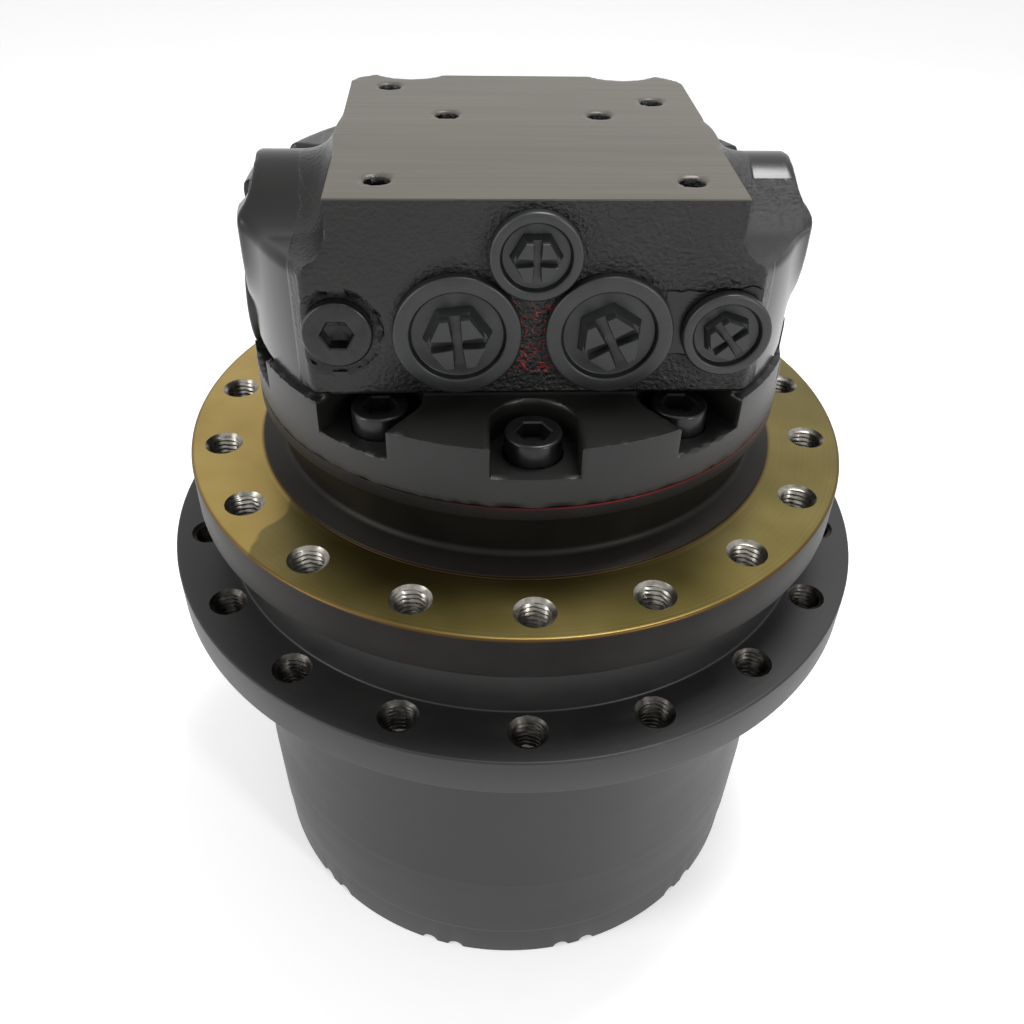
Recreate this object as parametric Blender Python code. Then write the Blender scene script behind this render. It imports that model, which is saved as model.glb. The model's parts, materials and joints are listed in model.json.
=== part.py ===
# Final drive of a tracked excavator, standing on the rim of its gear housing.
# Metres, +Z up along the drive's axis, origin at the axis on the floor.
# The port face looks along -Y. The frame side is fixed, the gear housing turns.
import bpy
import bmesh
from math import acos, atan2, cos, pi, radians, sin, sqrt, tan
from mathutils import Matrix

# General
SEGMENTS = 36
INNER_SEGMENTS = 18
DISC_SEGMENTS = 24
SMALL_SEGMENTS = 12
HOLE_SEGMENTS = 8
PISTON_SEGMENTS = 6
GAP = 0.0003
OVERRUN = 0.004
WELD_DISTANCE = 0.00001
SHARP_ANGLE = radians(35.0)

# Gear housing, which carries the sprocket
HOUSING_LENGTH = 0.1757
HOUSING_WALL = 0.0102
HOUSING_LIP = 0.020
HOUSING_LIP_STEP = 0.0009
HOUSING_BULGE = 0.0016
HOUSING_BULGE_HEIGHT = 0.064
COVER_SEAT_HEIGHT = 0.0165
RIM_NOTCH_RADIUS = 0.0036
RIM_NOTCH_PAIRS = 12
RIM_NOTCH_SEGMENTS = 6
RIM_NOTCH_HALF_ANGLE = radians(3.0)
RIM_NOTCH_PHASE = radians(12.7)
SPROCKET_FLANGE_THICKNESS = 0.018
SPROCKET_BOLT_STEP = 0.0098
SPROCKET_RIM = 0.0149
SPROCKET_BOLT_PHASE = radians(9.3)
COLLAR_WALL = 0.0143
COLLAR_HEIGHT = 0.0285
COLLAR_FILLET = 0.0030
EDGE_BREAK = 0.0012

# Tapped holes of both flanges
FLANGE_BOLTS = 18
FLANGE_BOLT_HOLE = 0.0062

# Spindle, which bolts to the track frame
FRAME_FLANGE_THICKNESS = 0.0194
FRAME_BOLT_STEP = 0.0174
FRAME_RIM = 0.014
FRAME_FLANGE_CLEARANCE = 0.0014
FRAME_BOLT_PHASE = radians(10.0)
PILOT_STEP = 0.0095
PILOT_HEIGHT = 0.0012
NECK_WALL = 0.0101
NECK_FOOT = 0.0036
NECK_HEIGHT = 0.0262
SEAM_STEP = 0.0073
SEAM_HEIGHT = 0.0322
SEAM_CHAMFER = 0.0045
SPINDLE_WALL = 0.015
SPINDLE_END_HEIGHT = 0.094
BRAKE_LEDGE_STEP = 0.0075
BRAKE_LEDGE_DEPTH = 0.0705
MOTOR_FLOOR_DEPTH = 0.1255
SHAFT_BEARING_RADIUS = 0.031
SHAFT_BEARING_LENGTH = 0.019
SHAFT_HOLE = 0.0165
TRUNNION_RADIUS = 0.012
TRUNNION_HEAD = 0.015
TRUNNION_HEAD_THICKNESS = 0.0012

# Main bearings
BEARING_WIDTH = 0.018
BEARING_LENGTH = 0.022
BEARING_SPACING = 0.054
BEARING_RING = 0.0042
BALL_RADIUS = 0.0043
BALLS_PER_ROW = 9
NUT_LENGTH = 0.009
NUT_WIDTH = 0.011
NUT_SLOTS = 6
NUT_SLOT = 0.006

# Floating seal between the housing's collar and the frame flange
SEAL_STEP = 0.0015
SEAL_RING_WIDTH = 0.0083
SEAL_CORD_ROOM = 0.0082
SEAL_RING_HEIGHT = 0.0105
SEAL_FACE = 0.003
SEAL_CORD = 0.0035
SEAL_CORD_SEGMENTS = 5
SEAL_SEAT_DEPTH = 0.0135
SEAL_RECESS_DEPTH = 0.0100

# Planet gears
MODULE = 0.0045
PRESSURE_ANGLE = radians(20.0)
RING_TEETH = 48
RING_WALL = 0.0115
SUN_1_TEETH = 12
SUN_2_TEETH = 12
PLANET_1_TEETH = 18
PLANET_2_TEETH = 18
PLANETS = 3
STAGE_1_PHASE = radians(30.0)
STAGE_2_PHASE = radians(90.0)
TOOTH_THINNING = 0.0006
ADDENDUM_SHARE = 0.92
DEDENDUM_SHARE = 1.25
STAGE_1_FACE = 0.022
STAGE_2_FACE = 0.041
RUNNING_GAP = 0.0006
COVER_GAP = 0.0020
CARRIER_RADIUS = 0.084
CARRIER_THICKNESS = 0.009
CARRIER_PIN_RADIUS = 0.011
CARRIER_PIN_HEAD = 0.014
PIN_HEAD_THICKNESS = 0.0012
SPLINE_RADIUS = 0.019

# Motor
SHAFT_RADIUS = 0.0115
SHAFT_COLLAR = 0.0145
SHAFT_COLLAR_LENGTH = 0.00475
SWASH_STEP = 0.0045
SWASH_HOLE = 0.021
SWASH_ANGLE = radians(14.0)
SWASH_FOOT = 0.004
BARREL_RADIUS = 0.048
BARREL_LENGTH = 0.056
BARREL_ROOM = 0.022
PISTON_WALL = 0.0145
PISTONS = 7
PISTON_RADIUS = 0.0082
PISTON_LENGTH = 0.034
SHOE_RADIUS = 0.0110
SHOE_THICKNESS = 0.0036
SHOE_PLATE_STEP = 0.0030
SHOE_PLATE_LIFT = 0.0018
SHOE_PLATE_THICKNESS = 0.0030
ROD_SINK = 0.0009
VALVE_PLATE_THICKNESS = 0.006
KIDNEY_WIDTH = 0.0075
KIDNEY_START = radians(20.0)
KIDNEY_SWEEP = radians(140.0)
KIDNEY_STEPS = 7
SPIGOT_HEIGHT = 0.0105
DISC_THICKNESS = 0.0026
DISC_INNER_LAP = 0.0150
PLATE_OUTER_LAP = 0.0165
BRAKE_DISC_ROOM = 0.0024
BRAKE_PISTON_LENGTH = 0.034
BRAKE_SPRING_THICKNESS = 0.0022

# Port block
BLOCK_STEP = 0.0026
SHOULDER_BREAK = 0.0025
BLOCK_LEDGE_HEIGHT = 0.0245
BLOCK_LEDGE_RISE = 0.0025
TOWER_RISE = 0.0243
FACE_DISTANCE = 0.0755
TOWER_HALF_WIDTH = 0.0695
TOWER_BACK = 0.062
TOWER_CORNER = 0.012
TOWER_CORNER_STEPS = 3
SCALLOP_RADIUS = 0.018
SCALLOP_DEPTH = 0.0050
SCALLOP_OFFSET = 0.0450
SPOOL_BOSS_RADIUS = 0.023
SPOOL_BOSS_STEP = 0.0088
SPOOL_BOSS_DROP = 0.0062
SPOOL_SEAT_DEPTH = 0.0010
SPOOL_BOSS_OFFSET = -0.012
SPOOL_BORE = 0.0110
SPOOL_SPRING_ROOM = 0.016
SPOOL_LAND = 0.032
SPOOL_MIDDLE_LAND = 0.0128
SPOOL_WAIST = 0.0070
SPOOL_STROKE = 0.004
SPOOL_CAP_RADIUS = 0.0140
SPOOL_CAP_HEAD = 0.0040
SPOOL_CAP_THREAD = 0.0122
SPOOL_CAP_LENGTH = 0.016
SPOOL_CAP_HEX = 0.0080
SIDE_PAD_RADIUS = 0.026
SIDE_PAD_STEP = 0.0038
SIDE_PAD_OFFSET = 0.004
SIDE_PAD_HEIGHT = 0.0310
SIDE_COVER_THICKNESS = 0.0047
SIDE_COVER_BORE = 0.008
SIDE_COVER_SPIGOT = 0.008
O_RING_STEP = 0.009
O_RING_CORD = 0.0015
O_RING_SEGMENTS = 4
O_RING_GROOVE = 0.0034

# Cap screws between the block and the spindle
SCREWS = 10
SCREW_WALL = 0.024
SCREW_PHASE = radians(-90.0)
SCREW_HEAD = 0.0105
SCREW_HEAD_HEIGHT = 0.014
SCREW_SHANK = 0.007
SCREW_LENGTH = 0.030
SCREW_SOCKET = 0.0060
SCREW_SOCKET_DEPTH = 0.007
SCREW_SEAT = 0.0068
POCKET_RADIUS = 0.0158
POCKET_FLOOR = 0.0123
POCKET_HEIGHT = 0.0143
POCKET_STEPS = 5
HOLE_CLEARANCE = 0.0006

# Plugs: radii of the flange, the recess, the hexagon's corners and the shank, and the turn of the hexagon
MAIN_PLUG = dict(flange=0.0225, recess=0.0168, hexagon=0.0112, shank=0.0150, slot_turn=radians(8.0))
SMALL_PLUG = dict(flange=0.0158, recess=0.0121, hexagon=0.0083, shank=0.0100, slot_turn=radians(2.0))
PLUG_MARGIN_LOW = 0.0010
PLUG_MARGIN_HIGH = 0.0030
PLUG_ROW_STEP = 0.0290
MAIN_PLUG_SPREAD = 0.0265
OUTER_PLUG_SPREAD = 0.0680
PLUG_FLANGE_THICKNESS = 0.0045
PLUG_RECESS_DEPTH = 0.0026
PLUG_HEX_DEPTH = 0.0085
PLUG_SHANK_LENGTH = 0.012
PLUG_SLOT = 0.0014
PLUG_SLOT_DEPTH = 0.0015
PORT_DEPTH = 0.020
STEEL_PLUG_SPOT = 0.0158
STEEL_PLUG_SPOT_DEPTH = 0.0012
STEEL_PLUG_HEAD = 0.0123
STEEL_PLUG_PROUD = 0.0030

# Tapped holes of the top pad: distances in from the tower's left side where negative, or its right side,
# and from the port face where negative, or the tower's back
PAD_HOLE = 0.0043
PAD_HOLE_DEPTH = 0.016
PAD_HOLE_MARGINS = (
    (-0.0165, 0.0165),
    (-0.0400, 0.0530),
    (0.0400, 0.0530),
    (0.0170, 0.0355),
    (-0.0170, -0.0165),
    (0.0165, -0.0155),
)

# End cover of the gear housing
COVER_THICKNESS = 0.011
COVER_CLEARANCE = 0.0010
COVER_RECESS = 0.070
COVER_RECESS_DEPTH = 0.003
THRUST_PAD = 0.012
THRUST_PAD_HEIGHT = 0.0012
SNAP_RING_THICKNESS = 0.0022
SNAP_RING_WIDTH = 0.0040
SNAP_RING_OPENING = radians(14.0)
OIL_PLUG_RADIUS = 0.0110
OIL_PLUG_SEAT = 0.0130
OIL_PLUG_PROUD = 0.0015
OIL_PLUG_THREAD = 0.0085
OIL_PLUG_STEP = 0.0325
OIL_PLUG_PHASE = radians(-60.0)
OIL_PLUG_SOCKET = 0.0050

# Radii worked out from the sizes above, from the motor outwards
MOTOR_BORE = BARREL_RADIUS + BARREL_ROOM
PISTON_CIRCLE = BARREL_RADIUS - PISTON_WALL
SHOE_PLATE_RADIUS = BARREL_RADIUS - SHOE_PLATE_STEP
BRAKE_LEDGE_BORE = MOTOR_BORE - BRAKE_LEDGE_STEP
SWASH_RADIUS = BRAKE_LEDGE_BORE - SWASH_STEP
SPINDLE_RADIUS = MOTOR_BORE + SPINDLE_WALL
NUT_RADIUS = SPINDLE_RADIUS + NUT_WIDTH
BEARING_OUTER = SPINDLE_RADIUS + BEARING_WIDTH
SEAL_INNER = BEARING_OUTER + SEAL_STEP
SEAL_OUTER = SEAL_INNER + SEAL_RING_WIDTH
SEAL_SEAT = SEAL_OUTER + SEAL_CORD_ROOM
COLLAR_RADIUS = SEAL_SEAT + COLLAR_WALL
HOUSING_BORE = MODULE * RING_TEETH / 2 + RING_WALL
HOUSING_RADIUS = HOUSING_BORE + HOUSING_WALL
COVER_RADIUS = HOUSING_BORE - COVER_CLEARANCE
OIL_PLUG_CIRCLE = COVER_RADIUS - OIL_PLUG_STEP
SPROCKET_BOLT_RADIUS = max(COLLAR_RADIUS, HOUSING_RADIUS + HOUSING_BULGE) + SPROCKET_BOLT_STEP
SPROCKET_FLANGE_RADIUS = SPROCKET_BOLT_RADIUS + SPROCKET_RIM
O_RING_RADIUS = MOTOR_BORE + O_RING_STEP
SCREW_PITCH_RADIUS = MOTOR_BORE + SCREW_WALL
NECK_RADIUS = SCREW_PITCH_RADIUS + NECK_WALL
PILOT_RADIUS = NECK_RADIUS + PILOT_STEP
FRAME_BOLT_RADIUS = PILOT_RADIUS + FRAME_BOLT_STEP
FRAME_FLANGE_RADIUS = FRAME_BOLT_RADIUS + FRAME_RIM
SEAM_RADIUS = NECK_RADIUS + SEAM_STEP
BLOCK_RADIUS = SEAM_RADIUS - BLOCK_STEP
SIDE_PAD_REACH = BLOCK_RADIUS - SIDE_PAD_STEP
SPOOL_BOSS_REACH = BLOCK_RADIUS - SPOOL_BOSS_STEP
SPOOL_LENGTH = 2 * (SPOOL_BOSS_REACH - SPOOL_CAP_LENGTH - SPOOL_SPRING_ROOM - SPOOL_STROKE)

# Heights over the seam between spindle and block, worked out from the plugs in the port face
PLUG_HEIGHT = BLOCK_LEDGE_HEIGHT + BLOCK_LEDGE_RISE + PLUG_MARGIN_LOW + MAIN_PLUG["flange"]
TOP_PLUG_HEIGHT = PLUG_HEIGHT + PLUG_ROW_STEP
TOP_HEIGHT = TOP_PLUG_HEIGHT + SMALL_PLUG["flange"] + PLUG_MARGIN_HIGH
SHOULDER_HEIGHT = TOP_HEIGHT - TOWER_RISE
SPOOL_BOSS_HEIGHT = SHOULDER_HEIGHT - SPOOL_BOSS_DROP

# Heights worked out from the sizes above
FLANGE_TOP = HOUSING_LENGTH + SPROCKET_FLANGE_THICKNESS
COLLAR_TOP = FLANGE_TOP + COLLAR_HEIGHT
FRAME_UNDER = COLLAR_TOP + FRAME_FLANGE_CLEARANCE
FRAME_FACE = FRAME_UNDER + FRAME_FLANGE_THICKNESS
SEAM = FRAME_FACE + SEAM_HEIGHT
LOWER_BEARING = SPINDLE_END_HEIGHT + NUT_LENGTH + GAP
UPPER_BEARING = LOWER_BEARING + BEARING_SPACING
SPINDLE_SHOULDER = UPPER_BEARING + BEARING_LENGTH + GAP
BRAKE_LEDGE = SEAM - BRAKE_LEDGE_DEPTH
MOTOR_FLOOR = SEAM - MOTOR_FLOOR_DEPTH
STAGE_1_BOTTOM = COVER_SEAT_HEIGHT + COVER_GAP
STAGE_1_TOP = STAGE_1_BOTTOM + STAGE_1_FACE
CARRIER_BOTTOM = STAGE_1_TOP + RUNNING_GAP
CARRIER_TOP = CARRIER_BOTTOM + CARRIER_THICKNESS
TRUNNION_END = CARRIER_TOP + RUNNING_GAP
STAGE_2_BOTTOM = TRUNNION_END + TRUNNION_HEAD_THICKNESS + GAP
STAGE_2_TOP = STAGE_2_BOTTOM + STAGE_2_FACE
SPIGOT_FACE = SEAM - SPIGOT_HEIGHT
VALVE_PLATE_BOTTOM = SPIGOT_FACE - GAP - VALVE_PLATE_THICKNESS
BARREL_TOP = VALVE_PLATE_BOTTOM - GAP
BARREL_BOTTOM = BARREL_TOP - BARREL_LENGTH
SWASH_BOTTOM = MOTOR_FLOOR + GAP
SWASH_TOP = SWASH_BOTTOM + SWASH_FOOT + 2 * SWASH_RADIUS * tan(SWASH_ANGLE)
FACE_Y = -FACE_DISTANCE


def material(name, colour, roughness, metallic):
    """A plain Principled material."""
    found = bpy.data.materials.new(name)
    found.use_nodes = True
    shader = found.node_tree.nodes["Principled BSDF"]
    shader.inputs["Base Color"].default_value = (*colour, 1)
    shader.inputs["Roughness"].default_value = roughness
    shader.inputs["Metallic"].default_value = metallic
    return found


def finish(name, mesh, finish_material, turn=None):
    """Make an object of a bmesh, with outward faces and smooth round sides."""
    bmesh.ops.recalc_face_normals(mesh, faces=mesh.faces)
    data = bpy.data.meshes.new(name)
    mesh.to_mesh(data)
    mesh.free()
    if turn is not None:
        data.transform(turn)
    data.shade_smooth()
    data.set_sharp_from_angle(angle=SHARP_ANGLE)
    if finish_material is not None:
        data.materials.append(finish_material)
    made = bpy.data.objects.new(name, data)
    bpy.context.scene.collection.objects.link(made)
    return made


def circle(radius, segments=SEGMENTS, phase=0):
    """Points round a circle."""
    step = 2 * pi / segments
    return [(radius * cos(phase + k * step), radius * sin(phase + k * step)) for k in range(segments)]


def around(radius, segments=SEGMENTS):
    """Radius of a polygon whose flats lie on a circle."""
    return radius / cos(pi / segments)


def coarse(points):
    """Give the rings of an inner profile half the segments."""
    return [(radius, height, INNER_SEGMENTS) for radius, height in points]


def turned(name, profile, finish_material, segments=SEGMENTS, centre=(0, 0), turn=None):
    """Turn a profile of (radius, height) points; it closes on itself unless it meets the axis.

    A point may name its own number of segments, where a flat ring joins it to the next number.
    """
    mesh = bmesh.new()
    rings = []
    for radius, height, *own in profile:
        points = circle(radius, own[0] if own else segments) if radius else [(0, 0)]
        rings.append([mesh.verts.new((centre[0] + x, centre[1] + y, height)) for x, y in points])
    pairs = list(zip(rings, rings[1:]))
    if profile[0][0] > 0:
        pairs.append((rings[-1], rings[0]))
    for pair in pairs:
        few, many = sorted(pair, key=len)
        steps = max(len(many) // len(few), 1) if len(few) > 1 else 1
        for k in range(len(many) // steps):
            corners = [few[(k + 1) % len(few)], few[k % len(few)]]
            corners += [many[(k * steps + j) % len(many)] for j in range(steps + 1)]
            mesh.faces.new(list(dict.fromkeys(corners)))
    return finish(name, mesh, finish_material, turn)


def prism(mesh, outline, low, high):
    """Add a prism over an outline to a bmesh."""
    bottom = [mesh.verts.new((x, y, low)) for x, y in outline]
    top = [mesh.verts.new((x, y, high)) for x, y in outline]
    mesh.faces.new(bottom)
    mesh.faces.new(top)
    for k in range(len(outline)):
        after = (k + 1) % len(outline)
        mesh.faces.new((bottom[k], bottom[after], top[after], top[k]))


def cutter(name, prisms, turn=None):
    """One hidden object of separate prisms, each an outline with its two heights."""
    mesh = bmesh.new()
    for outline, low, high in prisms:
        prism(mesh, outline, low, high)
    made = finish(name, mesh, None, turn)
    made.hide_render = True
    made.display_type = "WIRE"
    return made


def hide(made):
    """Mark a solid as a Boolean operand."""
    made.hide_render = True
    made.display_type = "WIRE"
    return made


def combine(target, other, operation):
    """Add an exact Boolean to an object."""
    step = target.modifiers.new(other.name, "BOOLEAN")
    step.operation = operation
    step.solver = "EXACT"
    step.object = other


def weld(target):
    """Merge the doubled points that a row of Booleans can leave."""
    step = target.modifiers.new("weld", "WELD")
    step.merge_threshold = WELD_DISTANCE


def at(outline, x, y):
    """Move an outline."""
    return [(x + px, y + py) for px, py in outline]


def on_circle(radius, count, phase=0):
    """Places round a bolt circle."""
    return circle(radius, count, phase)


def rounded_rectangle(left, right, front, back, radius, steps):
    """Outline of a rectangle with round corners."""
    centres = (
        (right - radius, back - radius, 0),
        (left + radius, back - radius, pi / 2),
        (left + radius, front + radius, pi),
        (right - radius, front + radius, 3 * pi / 2),
    )
    points = []
    for x, y, start in centres:
        for k in range(steps + 1):
            angle = start + k * pi / 2 / steps
            points.append((x + radius * cos(angle), y + radius * sin(angle)))
    return points


def lying(x, y, z, axis):
    """Matrix that lays a shape made along +Z on another axis in the floor's plane, at a point."""
    ax, ay = axis[0], axis[1]
    return Matrix(((ay, 0, ax, x), (-ax, 0, ay, y), (0, -1, 0, z), (0, 0, 0, 1)))


def involute(radius, base):
    """Polar angle of an involute at a radius."""
    if radius <= base:
        return 0
    angle = acos(base / radius)
    return tan(angle) - angle


def half_tooth(teeth, radius, change):
    """Half angle of a tooth at a radius, changed by a length along the pitch circle."""
    pitch = MODULE * teeth / 2
    base = pitch * cos(PRESSURE_ANGLE)
    at_pitch = pi / (2 * teeth) + change / (2 * pitch)
    return at_pitch + involute(pitch, base) - involute(radius, base)


def toothed(teeth, phase, internal=False):
    """Outline of a gear, four points a tooth, with a tooth or an internal gear's space at the phase."""
    pitch = MODULE * teeth / 2
    sign = -1 if internal else 1
    root = pitch - sign * DEDENDUM_SHARE * MODULE
    tip = pitch + sign * ADDENDUM_SHARE * MODULE
    if internal:
        low, high, change = tip, root, TOOTH_THINNING
    else:
        low, high, change = root, tip, -TOOTH_THINNING
    low_half = half_tooth(teeth, low, change)
    high_half = half_tooth(teeth, high, change)
    points = []
    for k in range(teeth):
        middle = phase + 2 * pi * k / teeth
        for radius, angle in ((low, -low_half), (high, -high_half), (high, high_half), (low, low_half)):
            points.append((radius * cos(middle + angle), radius * sin(middle + angle)))
    return points


def gear(name, teeth, phase, low, high, plain_radius, finish_material, centre=(0, 0), internal=False):
    """A spur gear with a plain bore, or an internal gear with a plain outside."""
    outline = toothed(teeth, phase, internal)
    plain = circle(plain_radius, teeth, phase - pi / teeth)
    mesh = bmesh.new()
    levels = []
    for height in (low, high):
        toothed_ring = [mesh.verts.new((centre[0] + x, centre[1] + y, height)) for x, y in outline]
        plain_ring = [mesh.verts.new((centre[0] + x, centre[1] + y, height)) for x, y in plain]
        levels.append((toothed_ring, plain_ring))
        for k in range(teeth):
            around_tooth = [toothed_ring[(4 * k + j) % (4 * teeth)] for j in range(5)]
            mesh.faces.new(around_tooth + [plain_ring[(k + 1) % teeth], plain_ring[k]])
    for lower, upper in zip(*levels):
        for k in range(len(lower)):
            after = (k + 1) % len(lower)
            mesh.faces.new((lower[k], lower[after], upper[after], upper[k]))
    return finish(name, mesh, finish_material)


def tapped_circle(name, radius, phase, low, high):
    """Cutter for a circle of tapped holes."""
    hole = circle(around(FLANGE_BOLT_HOLE, HOLE_SEGMENTS), HOLE_SEGMENTS, pi / HOLE_SEGMENTS)
    places = on_circle(radius, FLANGE_BOLTS, phase)
    return cutter(name, [(at(hole, x, y), low - OVERRUN, high + OVERRUN) for x, y in places])


def make_housing():
    """Gear housing with the sprocket flange, collar, seats and rim notches."""
    wide = HOUSING_RADIUS + HOUSING_BULGE
    ring_top = STAGE_2_TOP + RUNNING_GAP
    groove_high = COVER_SEAT_HEIGHT - COVER_THICKNESS
    groove_low = groove_high - SNAP_RING_THICKNESS - 2 * GAP
    profile = [
        (HOUSING_RADIUS, 0),
        (HOUSING_RADIUS + HOUSING_LIP_STEP, HOUSING_LIP),
        (wide, HOUSING_BULGE_HEIGHT),
        (HOUSING_RADIUS, HOUSING_LENGTH),
        (SPROCKET_FLANGE_RADIUS, HOUSING_LENGTH),
        (SPROCKET_FLANGE_RADIUS, FLANGE_TOP - EDGE_BREAK),
        (SPROCKET_FLANGE_RADIUS - EDGE_BREAK, FLANGE_TOP),
        (COLLAR_RADIUS + COLLAR_FILLET, FLANGE_TOP),
        (COLLAR_RADIUS, FLANGE_TOP + COLLAR_FILLET),
        (COLLAR_RADIUS, COLLAR_TOP),
    ]
    bore = around(HOUSING_BORE, INNER_SEGMENTS)
    groove = around(HOUSING_BORE + SNAP_RING_WIDTH / 2, INNER_SEGMENTS)
    inside = [
        (SEAL_SEAT, COLLAR_TOP),
        (SEAL_SEAT, COLLAR_TOP - SEAL_SEAT_DEPTH),
        (SEAL_INNER - GAP, COLLAR_TOP - SEAL_SEAT_DEPTH),
        (BEARING_OUTER + GAP, UPPER_BEARING + BEARING_LENGTH),
        (BEARING_OUTER + GAP, UPPER_BEARING),
        (BEARING_OUTER - BEARING_RING, UPPER_BEARING),
        (BEARING_OUTER - BEARING_RING, LOWER_BEARING + BEARING_LENGTH),
        (BEARING_OUTER + GAP, LOWER_BEARING + BEARING_LENGTH),
        (BEARING_OUTER + GAP, ring_top + GAP),
        (bore, ring_top + GAP),
        (bore, groove_high),
        (groove, groove_high),
        (groove, groove_low),
        (bore, groove_low),
        (bore, 0),
    ]
    profile += coarse(inside)
    housing = turned("gear_housing", profile, CAST_GREY)
    flange = (HOUSING_LENGTH, FLANGE_TOP)
    holes = tapped_circle("sprocket_holes", SPROCKET_BOLT_RADIUS, SPROCKET_BOLT_PHASE, *flange)
    combine(housing, holes, "DIFFERENCE")
    mesh = bmesh.new()
    for k in range(RIM_NOTCH_PAIRS):
        for side in (-1, 1):
            angle = RIM_NOTCH_PHASE + 2 * pi * k / RIM_NOTCH_PAIRS + side * RIM_NOTCH_HALF_ANGLE
            notch = bmesh.ops.create_cone(
                mesh,
                cap_ends=True,
                segments=RIM_NOTCH_SEGMENTS,
                radius1=RIM_NOTCH_RADIUS,
                radius2=RIM_NOTCH_RADIUS,
                depth=HOUSING_RADIUS - HOUSING_BORE + 2 * OVERRUN,
            )
            middle = (HOUSING_RADIUS + HOUSING_BORE) / 2
            place = lying(middle * cos(angle), middle * sin(angle), 0, (cos(angle), sin(angle)))
            bmesh.ops.transform(mesh, matrix=place, verts=notch["verts"])
    combine(housing, hide(finish("rim_notches", mesh, None)), "DIFFERENCE")
    return housing


def make_cover():
    """End cover with its snap ring and two oil plugs."""
    low = COVER_SEAT_HEIGHT - COVER_THICKNESS
    pad_top = COVER_SEAT_HEIGHT + THRUST_PAD_HEIGHT
    recess = [(0, low + COVER_RECESS_DEPTH), (COVER_RECESS, low + COVER_RECESS_DEPTH), (COVER_RECESS, low)]
    edge = [(COVER_RADIUS, low), (COVER_RADIUS, COVER_SEAT_HEIGHT)]
    pad = [(THRUST_PAD, COVER_SEAT_HEIGHT), (THRUST_PAD, pad_top), (0, pad_top)]
    cover = turned("end_cover", coarse(recess) + edge + coarse(pad), CAST_GREY)
    places = on_circle(OIL_PLUG_CIRCLE, 2, OIL_PLUG_PHASE)
    seat = circle(around(OIL_PLUG_SEAT, SMALL_SEGMENTS), SMALL_SEGMENTS)
    thread = circle(around(OIL_PLUG_THREAD + GAP, SMALL_SEGMENTS), SMALL_SEGMENTS)
    seat_top = low + OIL_PLUG_PROUD
    seats = cutter("oil_plug_seats", [(at(seat, x, y), low - OVERRUN, seat_top) for x, y in places])
    through = [(at(thread, x, y), low, COVER_SEAT_HEIGHT + OVERRUN) for x, y in places]
    threads = cutter("oil_plug_threads", through)
    combine(cover, seats, "DIFFERENCE")
    combine(cover, threads, "DIFFERENCE")
    socket = circle(OIL_PLUG_SOCKET, 6)
    for name, (x, y) in zip(("oil_fill_plug", "oil_drain_plug"), places):
        bottom = low - OIL_PLUG_PROUD
        plug = turned(
            name,
            [
                (0, bottom),
                (OIL_PLUG_RADIUS, bottom),
                (OIL_PLUG_RADIUS, seat_top - GAP),
                (OIL_PLUG_THREAD, seat_top - GAP),
                (OIL_PLUG_THREAD, COVER_SEAT_HEIGHT),
                (0, COVER_SEAT_HEIGHT),
            ],
            STEEL,
            SMALL_SEGMENTS,
            (x, y),
        )
        combine(plug, cutter(name + "_socket", [(at(socket, x, y), bottom - OVERRUN, low)]), "DIFFERENCE")
    top = low - GAP
    bottom = top - SNAP_RING_THICKNESS
    inner = HOUSING_BORE - SNAP_RING_WIDTH
    outer = around(HOUSING_BORE + SNAP_RING_WIDTH / 2 - GAP, INNER_SEGMENTS)
    section = [(inner, bottom), (outer, bottom), (outer, top), (inner, top)]
    ring = turned("cover_snap_ring", section, STEEL, INNER_SEGMENTS)
    reach = HOUSING_RADIUS
    half = reach * tan(SNAP_RING_OPENING / 2)
    wedge = [(0, 0), (reach, -half), (reach, half)]
    opening = cutter("snap_ring_opening", [(wedge, top - SNAP_RING_THICKNESS - OVERRUN, top + OVERRUN)])
    combine(ring, opening, "DIFFERENCE")


def make_gears():
    """Ring gear, two planet stages, the first carrier and the sun gears."""
    ring_low = COVER_SEAT_HEIGHT + GAP
    ring_top = STAGE_2_TOP + RUNNING_GAP
    gear("ring_gear", RING_TEETH, 0, ring_low, ring_top, HOUSING_BORE - GAP, STEEL, internal=True)
    arm_1 = MODULE * (SUN_1_TEETH + PLANET_1_TEETH) / 2
    arm_2 = MODULE * (SUN_2_TEETH + PLANET_2_TEETH) / 2
    step = 2 * pi / PLANETS
    for k in range(PLANETS):
        angle = STAGE_1_PHASE + k * step
        place = (arm_1 * cos(angle), arm_1 * sin(angle))
        bore = around(CARRIER_PIN_RADIUS + GAP, PLANET_1_TEETH)
        low = STAGE_1_BOTTOM + PIN_HEAD_THICKNESS + GAP
        gear("planet_1_" + "abc"[k], PLANET_1_TEETH, angle, low, STAGE_1_TOP, bore, STEEL, place)
        angle = STAGE_2_PHASE + k * step
        place = (arm_2 * cos(angle), arm_2 * sin(angle))
        bore = around(TRUNNION_RADIUS + GAP, PLANET_2_TEETH)
        gear("planet_2_" + "abc"[k], PLANET_2_TEETH, angle, STAGE_2_BOTTOM, STAGE_2_TOP, bore, STEEL, place)
    bore = around(SHAFT_RADIUS + RUNNING_GAP, SUN_2_TEETH)
    phase = STAGE_2_PHASE + pi / SUN_2_TEETH
    sun = gear("sun_gear_2", SUN_2_TEETH, phase, CARRIER_TOP + GAP, STAGE_2_TOP, bore, STEEL)
    sleeve = turned(
        "sun_2_sleeve",
        [
            (bore, CARRIER_BOTTOM + GAP),
            (SPLINE_RADIUS, CARRIER_BOTTOM + GAP),
            (SPLINE_RADIUS, CARRIER_TOP + OVERRUN),
            (bore, CARRIER_TOP + OVERRUN),
        ],
        None,
        SUN_2_TEETH,
        turn=Matrix.Rotation(STAGE_2_PHASE, 4, "Z"),
    )
    combine(sun, hide(sleeve), "UNION")
    make_carrier(arm_1)


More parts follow.
